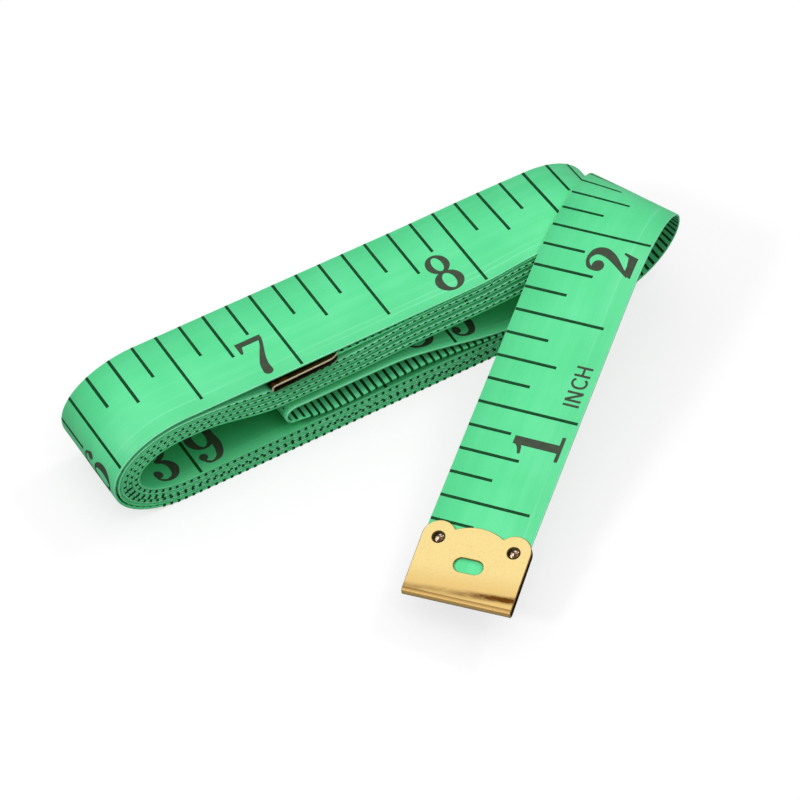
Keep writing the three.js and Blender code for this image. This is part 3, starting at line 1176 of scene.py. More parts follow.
@dataclass
class EndClip:
    """A stamped sheet folded round the tape's end and held by two rivets.

    The head is a rivet's dome, as pairs of a radius and a height over the sheet.
    """

    cloth: Cloth
    sizes: ClipSizes
    fine_step: float = 0.09
    coarse_step: float = 0.5
    edge_round: float = 0.07
    fold_margin: float = 0.3
    lobe_steps: int = 15
    ear_steps: int = 23
    slot_steps: int = 15
    sharp_edge: float = 35.0
    head: tuple[tuple[float, float], ...] = (
        (0.0, 0.30), (0.12, 0.285), (0.22, 0.25), (0.32, 0.20), (0.42, 0.145), (0.52, 0.09), (0.62, 0.04), (0.68, 0.0),
    )
    head_foot: float = -0.05
    shank_inset: float = 0.06
    shank_foot: float = -0.12
    rivet_steps: int = 36
    jaws: int = 3
    jaw_relief: float = 0.035
    jaw_place: float = 0.32
    jaw_half: float = 0.3

    @property
    def fold_radius(self) -> float:
        """Radius of the fold, to the middle of the sheet."""
        return self.cloth.thickness / 2 + self.sizes.fold_clearance + self.sizes.sheet / 2

    @property
    def ear_height(self) -> float:
        """Height of the middle of the sheet above the tape's middle, at the rivets."""
        return self.cloth.thickness / 2 + self.sizes.ear_clearance + self.sizes.sheet / 2

    @property
    def reach(self) -> float:
        """From the fold's centre to the end of the ears and the lobe."""
        return self.sizes.length - self.fold_radius - self.sizes.sheet / 2

    @property
    def rivet_places(self) -> dict[str, tuple[float, float]]:
        """The rivets' places in the clip's plane."""
        x = self.reach - self.sizes.rivet_inset - self.sizes.overhang - self.sizes.rivet_setback
        y = self.cloth.width / 2 - self.sizes.rivet_inset
        return {"left": (x, y), "right": (x, -y)}

    def outline(self) -> Outline:
        """Half the blank, from the fold's middle: straight sides, two ears and a wide lobe between them."""
        half = self.cloth.width / 2 + self.sizes.overhang
        ear = self.sizes.rivet_inset + self.sizes.overhang
        centre_x, centre_y = self.reach - ear, half - ear
        cusp = math.radians(self.sizes.ear_angle)
        cusp_x, cusp_y = centre_x + ear * math.sin(cusp), centre_y + ear * math.cos(cusp)
        depth = self.sizes.lobe_depth
        lobe = (cusp_y**2 + depth**2) / (2 * depth)
        lobe_half = math.asin(cusp_y / lobe)
        lobe_centre = cusp_x + depth - lobe
        arcs = arc((lobe_centre, 0.0), (lobe, lobe), np.linspace(0.0, lobe_half, self.lobe_steps + 1))
        ear_arc = [
            (centre_x + ear * math.sin(a), centre_y + ear * math.cos(a))
            for a in np.linspace(cusp, 0.0, self.ear_steps + 1)
        ]
        upper = arcs[:-1] + ear_arc + [(0.0, half)]
        lower = [(x, -y) for x, y in reversed(upper[:-1])][:-1]
        return [(0.0, -half)] + lower + upper

    def blank(self) -> Drawing:
        """The whole blank in the flat, with its slot and rivet holes, ready to fold along X = 0."""
        quarter = self.fold_radius * math.pi / 2
        half = [(x + quarter, y) for x, y in self.outline()]
        side = [point for point in half if point[0] > quarter]
        whole = side + [(-x, -y) for x, y in side]
        slot_x = self.sizes.slot_place - self.fold_radius - self.sizes.sheet / 2 + quarter
        straight = (self.sizes.slot_length - self.sizes.slot_width) / 2
        radius = self.sizes.slot_width / 2
        slot: Outline = []
        for end, start in ((1, 0.0), (-1, math.pi)):
            angles = np.linspace(start, start + math.pi, self.slot_steps + 1)
            slot += arc((slot_x, end * straight), (radius, radius), angles)
        holes = [slot]
        for x, y in self.rivet_places.values():
            for sheet_side in (1, -1):
                hole = Disc((sheet_side * (x + quarter), y), self.sizes.rivet_radius + self.sizes.rivet_play)
                holes += hole.outlines()
        fine = np.arange(-quarter - self.fold_margin, quarter + self.fold_margin, self.fine_step)
        coarse = np.arange(quarter + 2 * self.fold_margin, quarter + self.reach, self.coarse_step)
        return fill([whole], [*fine, *coarse, *(-coarse)], holes)

    def profile(self, run: np.ndarray) -> tuple[np.ndarray, np.ndarray, np.ndarray, np.ndarray]:
        """Where the folded sheet's middle lies, for distances along the blank from the fold's middle.

        Args:
            run: Distances, negative on the under side.

        Returns:
            X and Z of the points, and X and Z of the outward normals.
        """
        radius = self.fold_radius
        quarter = radius * math.pi / 2
        angle = np.clip(run / radius, -math.pi / 2, math.pi / 2)
        beyond = np.maximum(np.abs(run) - quarter, 0.0)
        ears = self.rivet_places["left"][0]
        fall = (radius - self.ear_height) / ears
        close = fall * np.minimum(beyond, ears)
        slope = np.sign(run) * np.where(beyond < ears, fall, 0.0)
        x = beyond - radius * np.cos(angle)
        z = radius * np.sin(angle) - np.sign(run) * close
        flat = beyond > 0
        normal_x = np.where(flat, slope * np.sign(run), -np.cos(angle))
        normal_z = np.where(flat, np.sign(run), np.sin(angle))
        length = np.hypot(normal_x, normal_z)
        return x, z, normal_x / length, normal_z / length

    def sheet_mesh(self, name: str) -> bpy.types.Mesh:
        """Folds the blank and gives it its thickness, with its edges rounded.

        Args:
            name: The mesh's name.

        Returns:
            The mesh in the clip's frame.
        """
        drawing = self.blank()
        triangles = drawing.triangles
        flat = drawing.points
        count = len(flat)
        directed = dict.fromkeys(
            pair for a, b, c in triangles.tolist() for pair in ((a, b), (b, c), (c, a))
        )
        border = [pair for pair in directed if pair[::-1] not in directed]
        inward = np.zeros((count, 2))
        for a, b in border:
            along = flat[b] - flat[a]
            left = np.array([-along[1], along[0]]) / np.linalg.norm(along)
            inward[a] += left
            inward[b] += left
        rim = sorted({index for pair in border for index in pair})
        inward[rim] /= np.linalg.norm(inward[rim], axis=1, keepdims=True)
        inset = flat + inward * self.edge_round
        half = self.sizes.sheet / 2

        def layer(points: np.ndarray, height: float) -> np.ndarray:
            """Puts points of the blank on one level of the folded sheet."""
            x, z, normal_x, normal_z = self.profile(points[:, 0])
            return np.column_stack([x + normal_x * height, points[:, 1], z + normal_z * height])

        outside, inside = layer(inset, half), layer(inset, -half)
        upper_rim = layer(flat[rim], half - self.edge_round)
        lower_rim = layer(flat[rim], self.edge_round - half)
        place = {index: number for number, index in enumerate(rim)}
        faces = [tuple(t) for t in triangles.tolist()]
        faces += [tuple(index + count for index in reversed(t)) for t in triangles.tolist()]
        top, low = 2 * count, 2 * count + len(rim)
        skins = len(faces)
        for a, b in border:
            faces.append((b, a, top + place[a], top + place[b]))
            faces.append((top + place[b], top + place[a], low + place[a], low + place[b]))
            faces.append((low + place[b], low + place[a], a + count, b + count))
        mesh = mesh_of(name, np.vstack([outside, inside, upper_rim, lower_rim]), faces)
        lay_flat(mesh, "blank_lengths", np.vstack([flat, flat, flat[rim], flat[rim]]))
        sheared = np.zeros(len(faces), dtype=np.int32)
        sheared[skins:] = np.repeat([1 if flat[a][0] > -self.sizes.sheet else 2 for a, _ in border], 3)
        mesh.polygons.foreach_set("material_index", sheared)
        mesh.shade_smooth()
        mesh.set_sharp_from_angle(angle=math.radians(self.sharp_edge))
        return mesh

    def rivet_mesh(self, name: str, dome: float) -> bpy.types.Mesh:
        """Makes a clinch that goes through both sheets, each head a low dome pressed by a three-jawed tool.

        Args:
            name: The mesh's name.
            dome: Share of its full height that the dome keeps.

        Returns:
            The mesh in the clip's frame.
        """
        radius = self.sizes.rivet_radius
        base = self.ear_height + self.sizes.sheet / 2
        profile = [(r, base + z * dome) for r, z in [*self.head, (radius, self.head_foot)]]
        profile.append((radius - self.shank_inset, base + self.shank_foot))
        profile += [(r, -z) for r, z in reversed(profile)]
        steps = self.rivet_steps
        points, faces = [], []
        for r, z in profile[1:-1]:
            jaw = math.copysign(self.jaw_relief * dome * swell(r, self.jaw_place, self.jaw_half), z)
            for angle in np.linspace(0, 2 * math.pi, steps + 1)[:-1]:
                points.append((r * math.cos(angle), r * math.sin(angle), z + jaw * math.cos(self.jaws * angle)))
        for row in range(len(profile) - 3):
            for step in range(steps):
                a, b = row * steps + step, row * steps + (step + 1) % steps
                faces.append((a, a + steps, b + steps, b))
        top, foot = len(points), len(points) + 1
        points += [(0.0, 0.0, profile[0][1]), (0.0, 0.0, profile[-1][1])]
        last = (len(profile) - 3) * steps
        for step in range(steps):
            following = (step + 1) % steps
            faces.append((top, step, following))
            faces.append((foot, last + following, last + step))
        mesh = mesh_of(name, np.array(points), faces)
        mesh.shade_smooth()
        return mesh


Colour = tuple[float, float, float, float]
SMOOTH = {"interpolation_type": "SMOOTHSTEP"}


def linear(colour: str) -> Colour:
    """Turns an sRGB hex colour into the linear values that a shader takes.

    Args:
        colour: Such as "#6ceba2".

    Returns:
        Red, green, blue and alpha.
    """
    channels = [int(colour[i:i + 2], 16) / 255 for i in (1, 3, 5)]
    red, green, blue = (c / 12.92 if c <= 0.04045 else ((c + 0.055) / 1.055) ** 2.4 for c in channels)
    return red, green, blue, 1.0


def add(
    tree: bpy.types.NodeTree, kind: str, inputs: dict[int | str, object] | None = None,
    stops: Sequence[tuple[float, Colour]] = (), **settings: object,
) -> bpy.types.Node:
    """Adds a node with its settings and links.

    Args:
        tree: The material's or world's nodes.
        kind: The node's type, without the word ShaderNode before it.
        inputs: What its input sockets take: a value, another node's output, or a node, which gives its first output.
        stops: Places and linear colours of a colour ramp, from the first to the last.
        settings: Its own properties.

    Returns:
        The node.
    """
    node = tree.nodes.new("ShaderNode" + kind)
    for name, value in settings.items():
        setattr(node, name, value)
    for name, value in (inputs or {}).items():
        source = value.outputs[0] if isinstance(value, bpy.types.Node) else value
        if isinstance(source, bpy.types.NodeSocket):
            tree.links.new(source, node.inputs[name])
        else:
            node.inputs[name].default_value = source
    if stops:
        elements = node.color_ramp.elements
        elements[0].position, elements[0].color = stops[0]
        elements[1].position, elements[1].color = stops[-1]
        for position, colour in stops[1:-1]:
            elements.new(position).color = colour
    return node


def blank_material(name: str) -> tuple[bpy.types.Material, bpy.types.NodeTree]:
    """Makes a material whose nodes are still to come.

    Args:
        name: Its name.

    Returns:
        The material and its nodes.
    """
    material = bpy.data.materials.new(name)
    material.use_nodes = True
    material.node_tree.nodes.clear()
    return material, material.node_tree


@dataclass(frozen=True)
class Speckle:
    """A tone that wanders between two colours, as wide as its patches are in the real finish.

    Its size is in millimetres. The low colour ends and the high colour starts at these places of the pattern, from
    0 to 1. Where it has a relief, which is in metres, the patches also stand up by that much.
    """

    size: float
    detail: float
    low: float
    low_colour: str
    high: float
    high_colour: str
    relief: float = 0.0
    relief_strength: float = 0.3

    def make(self, name: str, surface: dict[int | str, object], flat: str = "") -> bpy.types.Material:
        """Builds a material that has this tone.

        Args:
            name: The material's name.
            surface: What its surface shader takes besides the colour.
            flat: The map of flat lengths that the tone lies on, or nothing for the piece's own place.

        Returns:
            The material.
        """
        material, tree = blank_material(name)
        place = add(tree, "UVMap", uv_map=flat) if flat else add(tree, "TexCoord").outputs["Object"]
        patches = add(tree, "TexNoise", {"Vector": place, "Scale": 1 / (self.size * MM), "Detail": self.detail})
        stops = ((self.low, linear(self.low_colour)), (self.high, linear(self.high_colour)))
        inputs = {"Base Color": add(tree, "ValToRGB", {"Fac": patches}, stops), **surface}
        if self.relief:
            raised = {"Height": patches, "Distance": self.relief, "Strength": self.relief_strength}
            inputs["Normal"] = add(tree, "Bump", raised)
        add(tree, "OutputMaterial", {"Surface": add(tree, "BsdfPrincipled", inputs)})
        return material


@dataclass(frozen=True)
class CoatedCloth:
    """Glass-fibre ribbon coated with soft PVC and calendered: even, bright, with faint lines along the warp.

    The stretch deep in the winding is painted deep green as shade, so that the hollow reads dark. Its span is given in
    inches. Two ridges along the tape carry a painted pale highlight: its range is the share of paleness, from the third
    number to the fourth, where the streaks go from the first to the second. The relief is in metres.
    """

    name: str = "coated_cloth_calendered"
    colour: str = "#5fe49a"
    streak_colour: str = "#68e9a2"
    deep_colour: str = "#5ae096"
    tone_places: tuple[float, float, float] = (0.3, 0.45, 0.6)
    roughness: float = 0.42
    gloss: float = 0.25
    thread_spacing: float = 0.45
    thread_relief: float = 0.12
    streak_width: float = 1.6
    streak_length: float = 60.0
    cloud: float = 7.0
    relief: float = 0.00012
    # Painted highlight: this pale colour draws two light lines along the tape, placed by the fields below.
    ridge_colour: str = "#86f4b6"
    ridges: tuple[float, float] = (-5.1, -4.35)
    ridge_half: float = 0.11
    ridge_wear: tuple[float, float, float, float] = (0.42, 0.62, 0.05, 0.5)
    # Painted shade: this deep green darkens the stretch of tape that lies in the winding's hollow; its share, span and
    # ramp follow.
    unfaded_colour: str = "#22a85c"
    unfaded_share: float = 0.6
    unfaded: tuple[float, float] = (39.2, 40.2)
    unfaded_ramp: float = 1.1

    def make(self) -> bpy.types.Material:
        """Builds the material on the tape's own lengths."""
        material, tree = blank_material(self.name)
        lengths = add(tree, "UVMap", uv_map="tape_lengths")
        axes = add(tree, "SeparateXYZ", {0: lengths})
        along, across = axes.outputs["X"], axes.outputs["Y"]

        stretch = (1 / (self.streak_length * MM), 1 / (self.streak_width * MM), 1.0)
        drawn = add(tree, "Mapping", {"Vector": lengths, "Scale": stretch})
        streaks = add(tree, "TexNoise", {"Vector": drawn, "Scale": 1.0, "Detail": 3.0, "Roughness": 0.6})
        clouds = add(tree, "TexNoise", {"Vector": lengths, "Scale": 1 / (self.cloud * MM), "Detail": 2.0})
        both = add(tree, "Math", {0: streaks, 1: clouds}, operation="ADD")
        average = add(tree, "Math", {0: both, 1: 0.5}, operation="MULTIPLY")
        tones = [linear(colour) for colour in (self.deep_colour, self.colour, self.streak_colour)]
        colour = add(tree, "ValToRGB", {"Fac": average}, tuple(zip(self.tone_places, tones))).outputs["Color"]

        lines = [
            add(tree, "Math", {0: across, 1: place * MM, 2: self.ridge_half * MM}, operation="COMPARE")
            for place in self.ridges
        ]
        # The painted highlight's share on the two lines, paler in patches.
        ridge = add(tree, "Math", dict(enumerate(lines)), operation="MAXIMUM")
        highlight_patches = add(tree, "MapRange", dict(enumerate((streaks, *self.ridge_wear))))
        shine = add(tree, "Math", {0: ridge, 1: highlight_patches}, operation="MULTIPLY")

        # The painted shade's share along the tape, faded in and out at the ends of the stretch in the hollow.
        begin, end = (inches * INCH * MM for inches in self.unfaded)
        fade = self.unfaded_ramp * INCH * MM
        shade_begins = add(tree, "MapRange", {0: along, 1: begin - fade, 2: begin, 3: 0.0, 4: self.unfaded_share}, **SMOOTH)
        shade_ends = add(tree, "MapRange", {0: along, 1: end, 2: end + fade, 3: 1.0, 4: 0.0}, **SMOOTH)
        inner = add(tree, "Math", {0: shade_begins, 1: shade_ends}, operation="MULTIPLY")

        # Lays the painted pale highlight on the ridges, then the painted deep-green shade on the stretch in the hollow.
        for shade, share in ((self.ridge_colour, shine), (self.unfaded_colour, inner)):
            mix = add(tree, "Mix", {"Factor": share, "A": colour, "B": linear(shade)}, data_type="RGBA")
            colour = mix.outputs["Result"]

        weave = add(
            tree, "TexWave",
            {"Vector": lengths, "Scale": 0.5 / (self.thread_spacing * MM), "Distortion": 0.6, "Detail": 1.0},
            wave_type="BANDS", bands_direction="Y",
        ).outputs["Fac"]
        threads = add(tree, "Math", {0: weave, 1: self.thread_relief}, operation="MULTIPLY")
        height = add(tree, "Math", {0: streaks, 1: threads}, operation="ADD")
        bump = add(tree, "Bump", {"Height": height, "Strength": 0.25, "Distance": self.relief})
        add(tree, "OutputMaterial", {"Surface": add(tree, "BsdfPrincipled", {
            "Base Color": colour, "Roughness": self.roughness, "Specular IOR Level": self.gloss, "Normal": bump,
        })})
        return material


@dataclass(frozen=True)
class SlitEdge:
    """The slit edge of the ribbon, where the cut fibres show between two skins of coating: bright green and dull."""

    fibres: Speckle = Speckle(
        size=0.5, detail=3.0, low=0.35, low_colour="#54ea92", high=0.7, high_colour="#74ffae", relief=0.00005,
    )
    roughness: float = 0.62

    def make(self) -> bpy.types.Material:
        """Builds the material on the tape's own lengths."""
        return self.fibres.make("slit_edge_fibres", {"Roughness": self.roughness}, flat="tape_lengths")


@dataclass(frozen=True)
class PrintingInk:
    """Ink printed on the coating: thin on the marks, which stay greenish, and full on the numerals."""

    name: str
    colour: str
    thin_colour: str
    roughness: float = 0.6
    gloss: float = 0.2
    mottle: float = 0.8

    def make(self) -> bpy.types.Material:
        """Builds the material, a little uneven as printed ink is."""
        unevenness = Speckle(
            size=self.mottle, detail=3.0, low=0.4, low_colour=self.colour, high=0.75, high_colour=self.thin_colour,
        )
        return unevenness.make(self.name, {"Roughness": self.roughness, "Specular IOR Level": self.gloss})


@dataclass(frozen=True)
class RolledBrass:
    """Brass sheet, rolled bright and lacquered: an even pale gold, with a painted dark-brown reflection along the bend.

    Each place is a distance from the middle of the fold. The painted dark reflection is strongest at its place, lies
    aslant by its shift, and weakens across the sheet and in patches. A painted warm reflection leads up to it, painted
    shade dims the fold's glint, and the fold's underside is painted dark as shade. The relief is in metres.
    """

    name: str = "rolled_brass_lacquered"
    colour: str = "#fee39a"
    worn_colour: str = "#f8d88c"
    # Painted reflections near the fold: a warm colour and a dark brown, which also serves the painted shade over the
    # fold's glint.
    warm_colour: str = "#e9bd70"
    tint_colour: str = "#6e4212"
    # Painted shade on the fold's underside.
    under_colour: str = "#38240f"
    tone_places: tuple[float, float] = (0.2, 0.5)
    roughness: float = 0.2
    wave: float = 2.2
    line: float = 0.35
    # These place the painted warm reflection.
    warm_start: float = 1.6
    warm_end: float = 5.0
    warm_share: float = 0.62
    # These place the painted dark-brown reflection.
    tint_place: float = 1.4
    tint_half: float = 0.7
    tint_shift: float = 0.072
    tint_full: float = -6.0
    tint_weak: float = 2.0
    tint_weak_share: float = 0.36
    tint_patches: tuple[float, float, float, float] = (0.32, 0.6, 0.6, 1.5)
    # These place the painted shade that dims the lamp's glint on the fold.
    crease_place: float = 0.6
    crease_half: float = 0.16
    crease_share: float = 0.62
    # These place the painted shade on the fold's underside.
    under_start: float = 0.02
    under_full: float = -0.08
    rubbed_start: float = 0.5
    rubbed_half: float = 0.95
    rubbed_roughness: float = 0.5
    relief: float = 0.00002

    def make(self) -> bpy.types.Material:
        """Builds the material on the blank's own lengths, measured from the middle of the fold."""
        material, tree = blank_material(self.name)
        lengths = add(tree, "UVMap", uv_map="blank_lengths")
        axes = add(tree, "SeparateXYZ", {0: lengths})
        along, across = axes.outputs["X"], axes.outputs["Y"]

        drawn = add(tree, "Mapping", {"Vector": lengths, "Scale": (3 / (self.wave * MM), 1 / (self.wave * MM), 1.0)})
        wave = add(tree, "TexNoise", {"Vector": drawn, "Scale": 1.0, "Detail": 4.0, "Roughness": 0.65})
        fine = add(tree, "TexNoise", {"Vector": lengths, "Scale": 1 / (self.line * MM), "Detail": 4.0})
        tones = linear(self.worn_colour), linear(self.colour)
        colour = add(tree, "ValToRGB", {"Fac": fine}, tuple(zip(self.tone_places, tones))).outputs["Color"]

        from_fold = add(tree, "Math", {0: along}, operation="ABSOLUTE")
        slanted = add(tree, "Math", {0: across, 1: self.tint_shift, 2: from_fold}, operation="MULTIPLY_ADD")
        middle, half = self.tint_place * MM, self.tint_half * MM
        ranges = {
            "warm_reflection": (slanted, self.warm_start * MM, self.warm_end * MM, self.warm_share, 0.0),
            "rise": (slanted, middle - half, middle, 0.0, 1.0),
            "fall": (slanted, middle, middle + half, 1.0, 0.0),
            "aside": (across, self.tint_full * MM, self.tint_weak * MM, 1.0, self.tint_weak_share),
            "under": (along, self.under_start * MM, self.under_full * MM, 0.0, 1.0),
            "rubbed": (from_fold, self.rubbed_start * MM, self.rubbed_half * MM, self.rubbed_roughness, self.roughness),
        }
        smooth = {name: add(tree, "MapRange", dict(enumerate(steps)), **SMOOTH) for name, steps in ranges.items()}
        # The painted dark-brown reflection's share, in patches and aslant across the sheet.
        dark_reflection = add(tree, "MapRange", dict(enumerate((wave, *self.tint_patches))))
        for name in ("aside", "rise", "fall"):
            dark_reflection = add(tree, "Math", {0: dark_reflection, 1: smooth[name]}, operation="MULTIPLY")
        # Painted shade over the place where the lamp's glint falls on the fold.
        on_glint = add(
            tree, "Math", {0: along, 1: self.crease_place * MM, 2: self.crease_half * MM}, operation="COMPARE",
        )
        crease = add(tree, "Math", {0: on_glint, 1: self.crease_share}, operation="MULTIPLY")
        # Lays on the brass the painted warm reflection, the painted dark reflection, the painted shade over the glint
        # and the painted shade under the fold.
        for shade, share in (
            (self.warm_colour, smooth["warm_reflection"]), (self.tint_colour, dark_reflection), (self.tint_colour, crease),
            (self.under_colour, smooth["under"]),
        ):
            mix = add(tree, "Mix", {"Factor": share, "A": colour, "B": linear(shade)}, data_type="RGBA")
            colour = mix.outputs["Result"]

        bump = add(tree, "Bump", {"Height": fine, "Strength": 0.1, "Distance": self.relief})
        add(tree, "OutputMaterial", {"Surface": add(tree, "BsdfPrincipled", {
            "Base Color": colour, "Metallic": 1.0, "Roughness": smooth["rubbed"], "Normal": bump,
        })})
        return material


@dataclass(frozen=True)
class ShearedBrass:
    """The edge that the press has sheared: raw brass, dulled and brown beside the lacquered face."""

    name: str
    colour: str
    dark_colour: str
    roughness: float = 0.5
    grain: float = 0.2

    def make(self) -> bpy.types.Material:
        """Builds the material."""
        torn = Speckle(
            size=self.grain, detail=3.0, low=0.35, low_colour=self.dark_colour, high=0.65, high_colour=self.colour,
            relief=0.00002,
        )
        return torn.make(self.name, {"Metallic": 1.0, "Roughness": self.roughness})


@dataclass(frozen=True)
class BrownedBrass:
    """A clinch of dark, chemically browned brass under clear lacquer, which gives it small white glints."""

    browning: Speckle = Speckle(size=0.5, detail=2.0, low=0.35, low_colour="#3c2810", high=0.7, high_colour="#7a5424")
    roughness: float = 0.3
    lacquer_roughness: float = 0.06

    def make(self) -> bpy.types.Material:
        """Builds the material."""
        return self.browning.make("browned_brass_lacquered", {
            "Metallic": 1.0, "Roughness": self.roughness, "Coat Weight": 1.0, "Coat Roughness": self.lacquer_roughness,
        })


@dataclass(frozen=True)
class StudioPaper:
    """Seamless grey paper, lit up to white for the eye alone, with the object's own shadow left on it."""

    colour: str = "#9c9c9c"
    lift: float = 0.68

    def make(self) -> bpy.types.Material:
        """Builds the material: plain matte paper that only the camera sees whiter."""
        material, tree = blank_material("studio_paper")
        seen = add(tree, "LightPath").outputs["Is Camera Ray"]
        strength = add(tree, "Math", {0: seen, 1: self.lift}, operation="MULTIPLY")
        paper = add(tree, "BsdfDiffuse", {"Color": linear(self.colour)})
        light = add(tree, "Emission", {"Strength": strength})
        add(tree, "OutputMaterial", {"Surface": add(tree, "AddShader", {0: paper, 1: light})})
        return material


@dataclass(frozen=True)
class Softbox:
    """A square soft lamp. Its place is in metres from the object, its side in metres and its power in watts."""

    name: str
    place: tuple[float, float, float]
    side: float
    power: float


@dataclass
class Studio:
    """The camera, the lamps, the world and the paper that the object lies on.

    The camera's distances are in millimetres and its angles in degrees. The sky gives how bright the world is at
    the height of a direction, from level to straight up.
    """

    origin: Vector
    azimuth: float = -31.845
    elevation: float = 49.725
    roll: float = 0.642
    focal_pixels: float = 4701.6
    distance: float = 559.3
    aside: float = 11.098
    above: float = 5.162
    sensor: float = 36.0
    sight: tuple[float, float] = (0.01, 50.0)
    floor_size: float = 6000.0
    floor_gap: float = 0.015
    sky: tuple[tuple[float, float], ...] = ((0.0, 0.01), (0.25, 0.04), (0.5, 0.2), (0.8, 0.8), (0.88, 1.0))
    softboxes: tuple[Softbox, ...] = (
        Softbox("left_softbox", (-0.9, -0.1, 0.8), 0.2, 4.2),
        Softbox("right_softbox", (0.8, 0.1, 0.9), 0.2, 2.2),
        Softbox("high_front_softbox", (0.0, -0.4, 1.12), 0.8, 2.2),
    )

    def axes(self) -> tuple[Vector, Vector, Vector]:
        """The camera's right, up and forward directions."""
        a, e, r = (math.radians(value) for value in (self.azimuth, self.elevation, self.roll))
        right = Vector((math.cos(a), math.sin(a), 0.0))
        level = Vector((-math.sin(a), math.cos(a), 0.0))
        up = level * math.sin(e) + Vector((0.0, 0.0, math.cos(e)))
        forward = level * math.cos(e) - Vector((0.0, 0.0, math.sin(e)))
        return right * math.cos(r) + up * math.sin(r), up * math.cos(r) - right * math.sin(r), forward

    def camera(self) -> None:
        """Puts the camera where the photograph was taken from."""
        right, up, forward = self.axes()
        data = bpy.data.cameras.new("photograph_view")
        data.sensor_width = self.sensor
        data.sensor_fit = "HORIZONTAL"
        data.lens = self.focal_pixels / PHOTO_SIDE * self.sensor
        data.clip_start, data.clip_end = self.sight
        place = self.origin + right * self.aside + up * self.above - forward * self.distance
        camera = bpy.data.objects.new("photograph_view", data)
        turn = Matrix((right, up, -forward)).transposed().to_quaternion()
        camera.matrix_world = Matrix.LocRotScale(place * MM, turn, None)
        bpy.context.scene.collection.objects.link(camera)
        bpy.context.scene.camera = camera

    def lamp(self, softbox: Softbox) -> None:
        """Adds a lamp that faces the object.

        Args:
            softbox: What and where it is.
        """
        data = bpy.data.lights.new(softbox.name, "AREA")
        data.shape = "SQUARE"
        data.size = softbox.side
        data.energy = softbox.power
        lamp = bpy.data.objects.new(softbox.name, data)
        place = Vector(softbox.place)
        lamp.matrix_world = Matrix.LocRotScale(place, place.to_track_quat("Z", "Y"), None)
        bpy.context.scene.collection.objects.link(lamp)

    def floor(self) -> None:
        """Lays the paper under the object, lower by the thickness of the ink on the tape's underside."""
        half = self.floor_size / 2
        corners = [(x, y, -self.floor_gap) for x, y in ((-half, -half), (half, -half), (half, half), (-half, half))]
        mesh = mesh_of("paper", np.array(corners), [(0, 1, 2, 3)])
        paper = bpy.data.objects.new("paper", mesh)
        mesh.materials.append(StudioPaper().make())
        bpy.context.scene.collection.objects.link(paper)

    def world(self) -> None:
        """Lights the object evenly from all round, brighter from above."""
        world = bpy.data.worlds.new("studio")
        world.use_nodes = True
        tree = world.node_tree
        tree.nodes.clear()
        height = add(tree, "SeparateXYZ", {0: add(tree, "TexCoord").outputs["Generated"]}).outputs["Z"]
        stops = [(place, (tone, tone, tone, 1.0)) for place, tone in self.sky]
        around = add(tree, "Background", {"Color": add(tree, "ValToRGB", {"Fac": height}, stops), "Strength": 1.0})
        white = add(tree, "Background", {"Color": (1.0, 1.0, 1.0, 1.0), "Strength": 1.0})
        seen = add(tree, "LightPath").outputs["Is Camera Ray"]
        add(tree, "OutputWorld", {"Surface": add(tree, "MixShader", {0: seen, 1: around, 2: white})})
        bpy.context.scene.world = world

    def build(self) -> None:
        """Sets up everything round the object."""
        bpy.context.scene.view_settings.view_transform = "Standard"
        self.camera()
        for softbox in self.softboxes:
            self.lamp(softbox)
        self.floor()
        self.world()


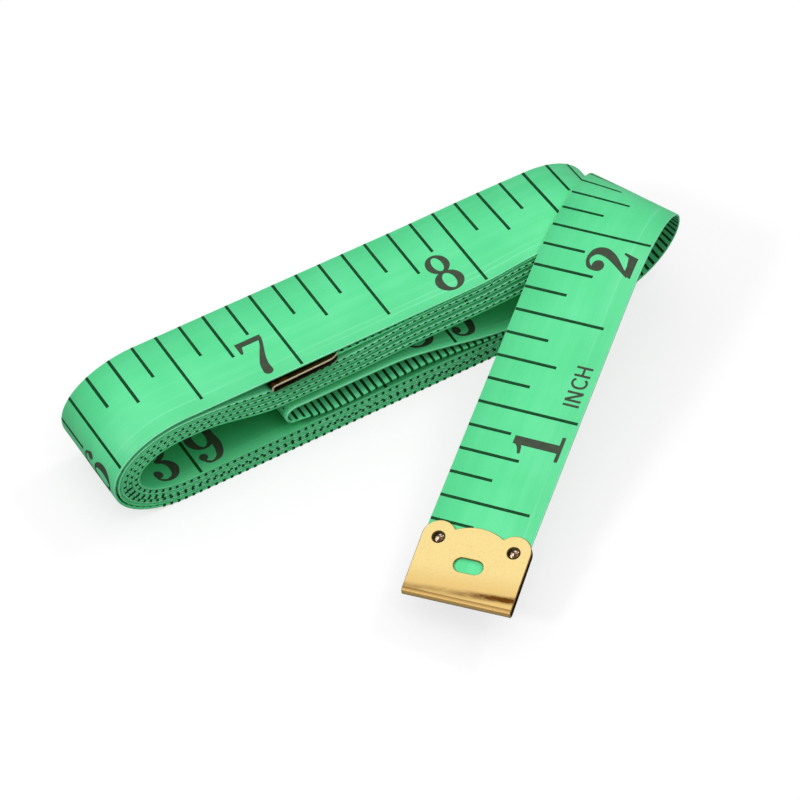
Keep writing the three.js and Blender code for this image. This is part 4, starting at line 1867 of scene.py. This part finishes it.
@dataclass
class TapeMeasure:
    """The whole object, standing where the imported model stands."""

    ribbon: Ribbon
    place: Matrix

    def piece(self, name: str, mesh: bpy.types.Mesh, materials: Sequence[bpy.types.Material]) -> bpy.types.Object:
        """Makes one piece of the object.

        Args:
            name: The piece's name.
            mesh: Its mesh, in the winding's own frame.
            materials: Its materials, in the order of the mesh's material indices.

        Returns:
            The piece, riding on the only body.
        """
        mesh.transform(self.place)
        for material in materials:
            mesh.materials.append(material)
        piece = bpy.data.objects.new(name, mesh)
        bpy.context.scene.collection.objects.link(piece)
        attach(piece, "root")
        points = np.array([tuple(vertex.co) for vertex in mesh.vertices]) / MM
        low, high = np.round(points.min(axis=0), 1), np.round(points.max(axis=0), 1)
        log.info("%s: %d faces, %s to %s mm", name, len(mesh.polygons), low, high)
        return piece

    def build_tape(self) -> None:
        """Makes the cloth and its print."""
        tape = Tape(self.ribbon, PrintSizes(), NumeralFace())
        # The bevel beside the cut edge is painted pale as a highlight, which draws a light line along each layer.
        rim_highlight_cloth = CoatedCloth("coated_cloth_painted_rim_highlight", "#92f6c0", "#a4fccd", "#80f0b2")
        finishes = [CoatedCloth(), SlitEdge(), rim_highlight_cloth]
        cloth = self.piece("tape_cloth", tape.cloth_mesh(), [finish.make() for finish in finishes])
        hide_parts("tape")
        marks = PrintingInk("mark_ink_thin", "#05401a", "#0a5226").make()
        numerals = PrintingInk("numeral_ink_full", "#3f4b3c", "#48553f").make()
        plates = {
            "inch_marks": (tape.inch_marks(), marks),
            "inch_numerals": (tape.inch_numerals(), numerals),
            "centimetre_marks": (tape.centimetre_marks(), marks),
            "centimetre_numerals": (tape.centimetre_numerals(), numerals),
        }
        prints = [self.piece(name, plate.mesh(name), [ink]) for name, (plate, ink) in plates.items()]

    def build_clip(
        self, name: str, at_far_end: bool, aside: float, skew: float, dome: float,
        finishes: Sequence[RolledBrass | ShearedBrass],
    ) -> None:
        """Makes one end clip with its rivets.

        Args:
            name: The clip's name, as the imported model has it.
            at_far_end: True for the clip on the far end, False for the one on the zero end.
            aside: How far it sits off the tape's middle, towards the far edge.
            skew: Degrees by which it was put on askew.
            dome: Share of their full height that the clinches' domes keep.
            finishes: Finishes of its faces, its upper sheared edge and its lower sheared edge.
        """
        clip = EndClip(self.ribbon.cloth, ClipSizes())
        turn = Matrix.Rotation(math.radians(skew), 4, "Z")
        stand = self.ribbon.end_frame(at_far_end) @ Matrix.Translation((0.0, aside, 0.0)) @ turn
        stand.translation *= MM
        sheet = clip.sheet_mesh(f"{name}_clip_sheet")
        sheet.transform(stand)
        brass = self.piece(f"{name}_clip_sheet", sheet, [finish.make() for finish in finishes])
        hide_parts(f"{name}_clip")
        browned = BrownedBrass()
        for side, (x, y) in clip.rivet_places.items():
            rivet = clip.rivet_mesh(f"{name}_clinch_{side}", dome)
            rivet.transform(stand @ Matrix.Translation((x * MM, y * MM, 0.0)))
            head = self.piece(f"{name}_clinch_{side}", rivet, [browned.make()])
            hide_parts(f"{name}_rivet_{side}")


def main() -> None:
    """Builds the studio and the tape measure."""
    logging.basicConfig(level=logging.INFO, format="%(message)s", force=True)
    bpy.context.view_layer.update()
    cloth = Cloth()
    low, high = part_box("tape")
    # The winding's left end, near edge and underside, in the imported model's frame.
    shift = Vector((low.x, high.y - cloth.width * MM, 0.0))
    # The camera's numbers start from here, near the line of the seventh inch on the top turn.
    camera_line = 25.3
    Studio(origin=shift / MM + Vector((camera_line, 0.0, 0.0))).build()
    free_end = FreeEnd(cloth)
    anchors = [
        Anchor(3.4375, free_end.start, cloth.thickness / 2, before=free_end.length),
        Anchor(7.0, camera_line - 0.34, 14.3, before=44.0, after=36.0),
        Anchor(13.0, camera_line + 1.5, 12.3),
        Anchor(34.14, 23.2, 6.2, before=26.0),
        Anchor(35.0, 46.2, 5.5),
        Anchor(39.0, camera_line - 14.2, 3.1, before=12.0, after=30.0),
    ]
    ribbon = Ribbon(Winding(cloth), free_end, anchors)
    measure = TapeMeasure(ribbon, Matrix.Translation(shift))
    measure.build_tape()
    # The lower edges are painted dark as shade under the sheet, the front clip's upper ones are raw, and the rear
    # clip's upper ones are painted bright as a highlight.
    shaded_lower_edge = ShearedBrass("sheared_brass_painted_shade", "#4a3216", "#24180a")
    measure.build_clip("front", at_far_end=False, aside=-0.4, skew=1.9, dome=1.0, finishes=[
        RolledBrass(), ShearedBrass("sheared_brass_raw", "#c9a266", "#94703c"), shaded_lower_edge,
    ])
    # The rear clip lies between the turns; its face is painted dark brown and dull as the shade there.
    shaded_rear_brass = RolledBrass("rolled_brass_painted_shade", "#3e3414", "#332a10", "#362a10", roughness=0.45)
    measure.build_clip("rear", at_far_end=True, aside=-0.2, skew=0.0, dome=0.35, finishes=[
        shaded_rear_brass, ShearedBrass("sheared_brass_painted_highlight", "#fff4d6", "#f0dcae"), shaded_lower_edge,
    ])


if __name__ == "__main__":
    main()
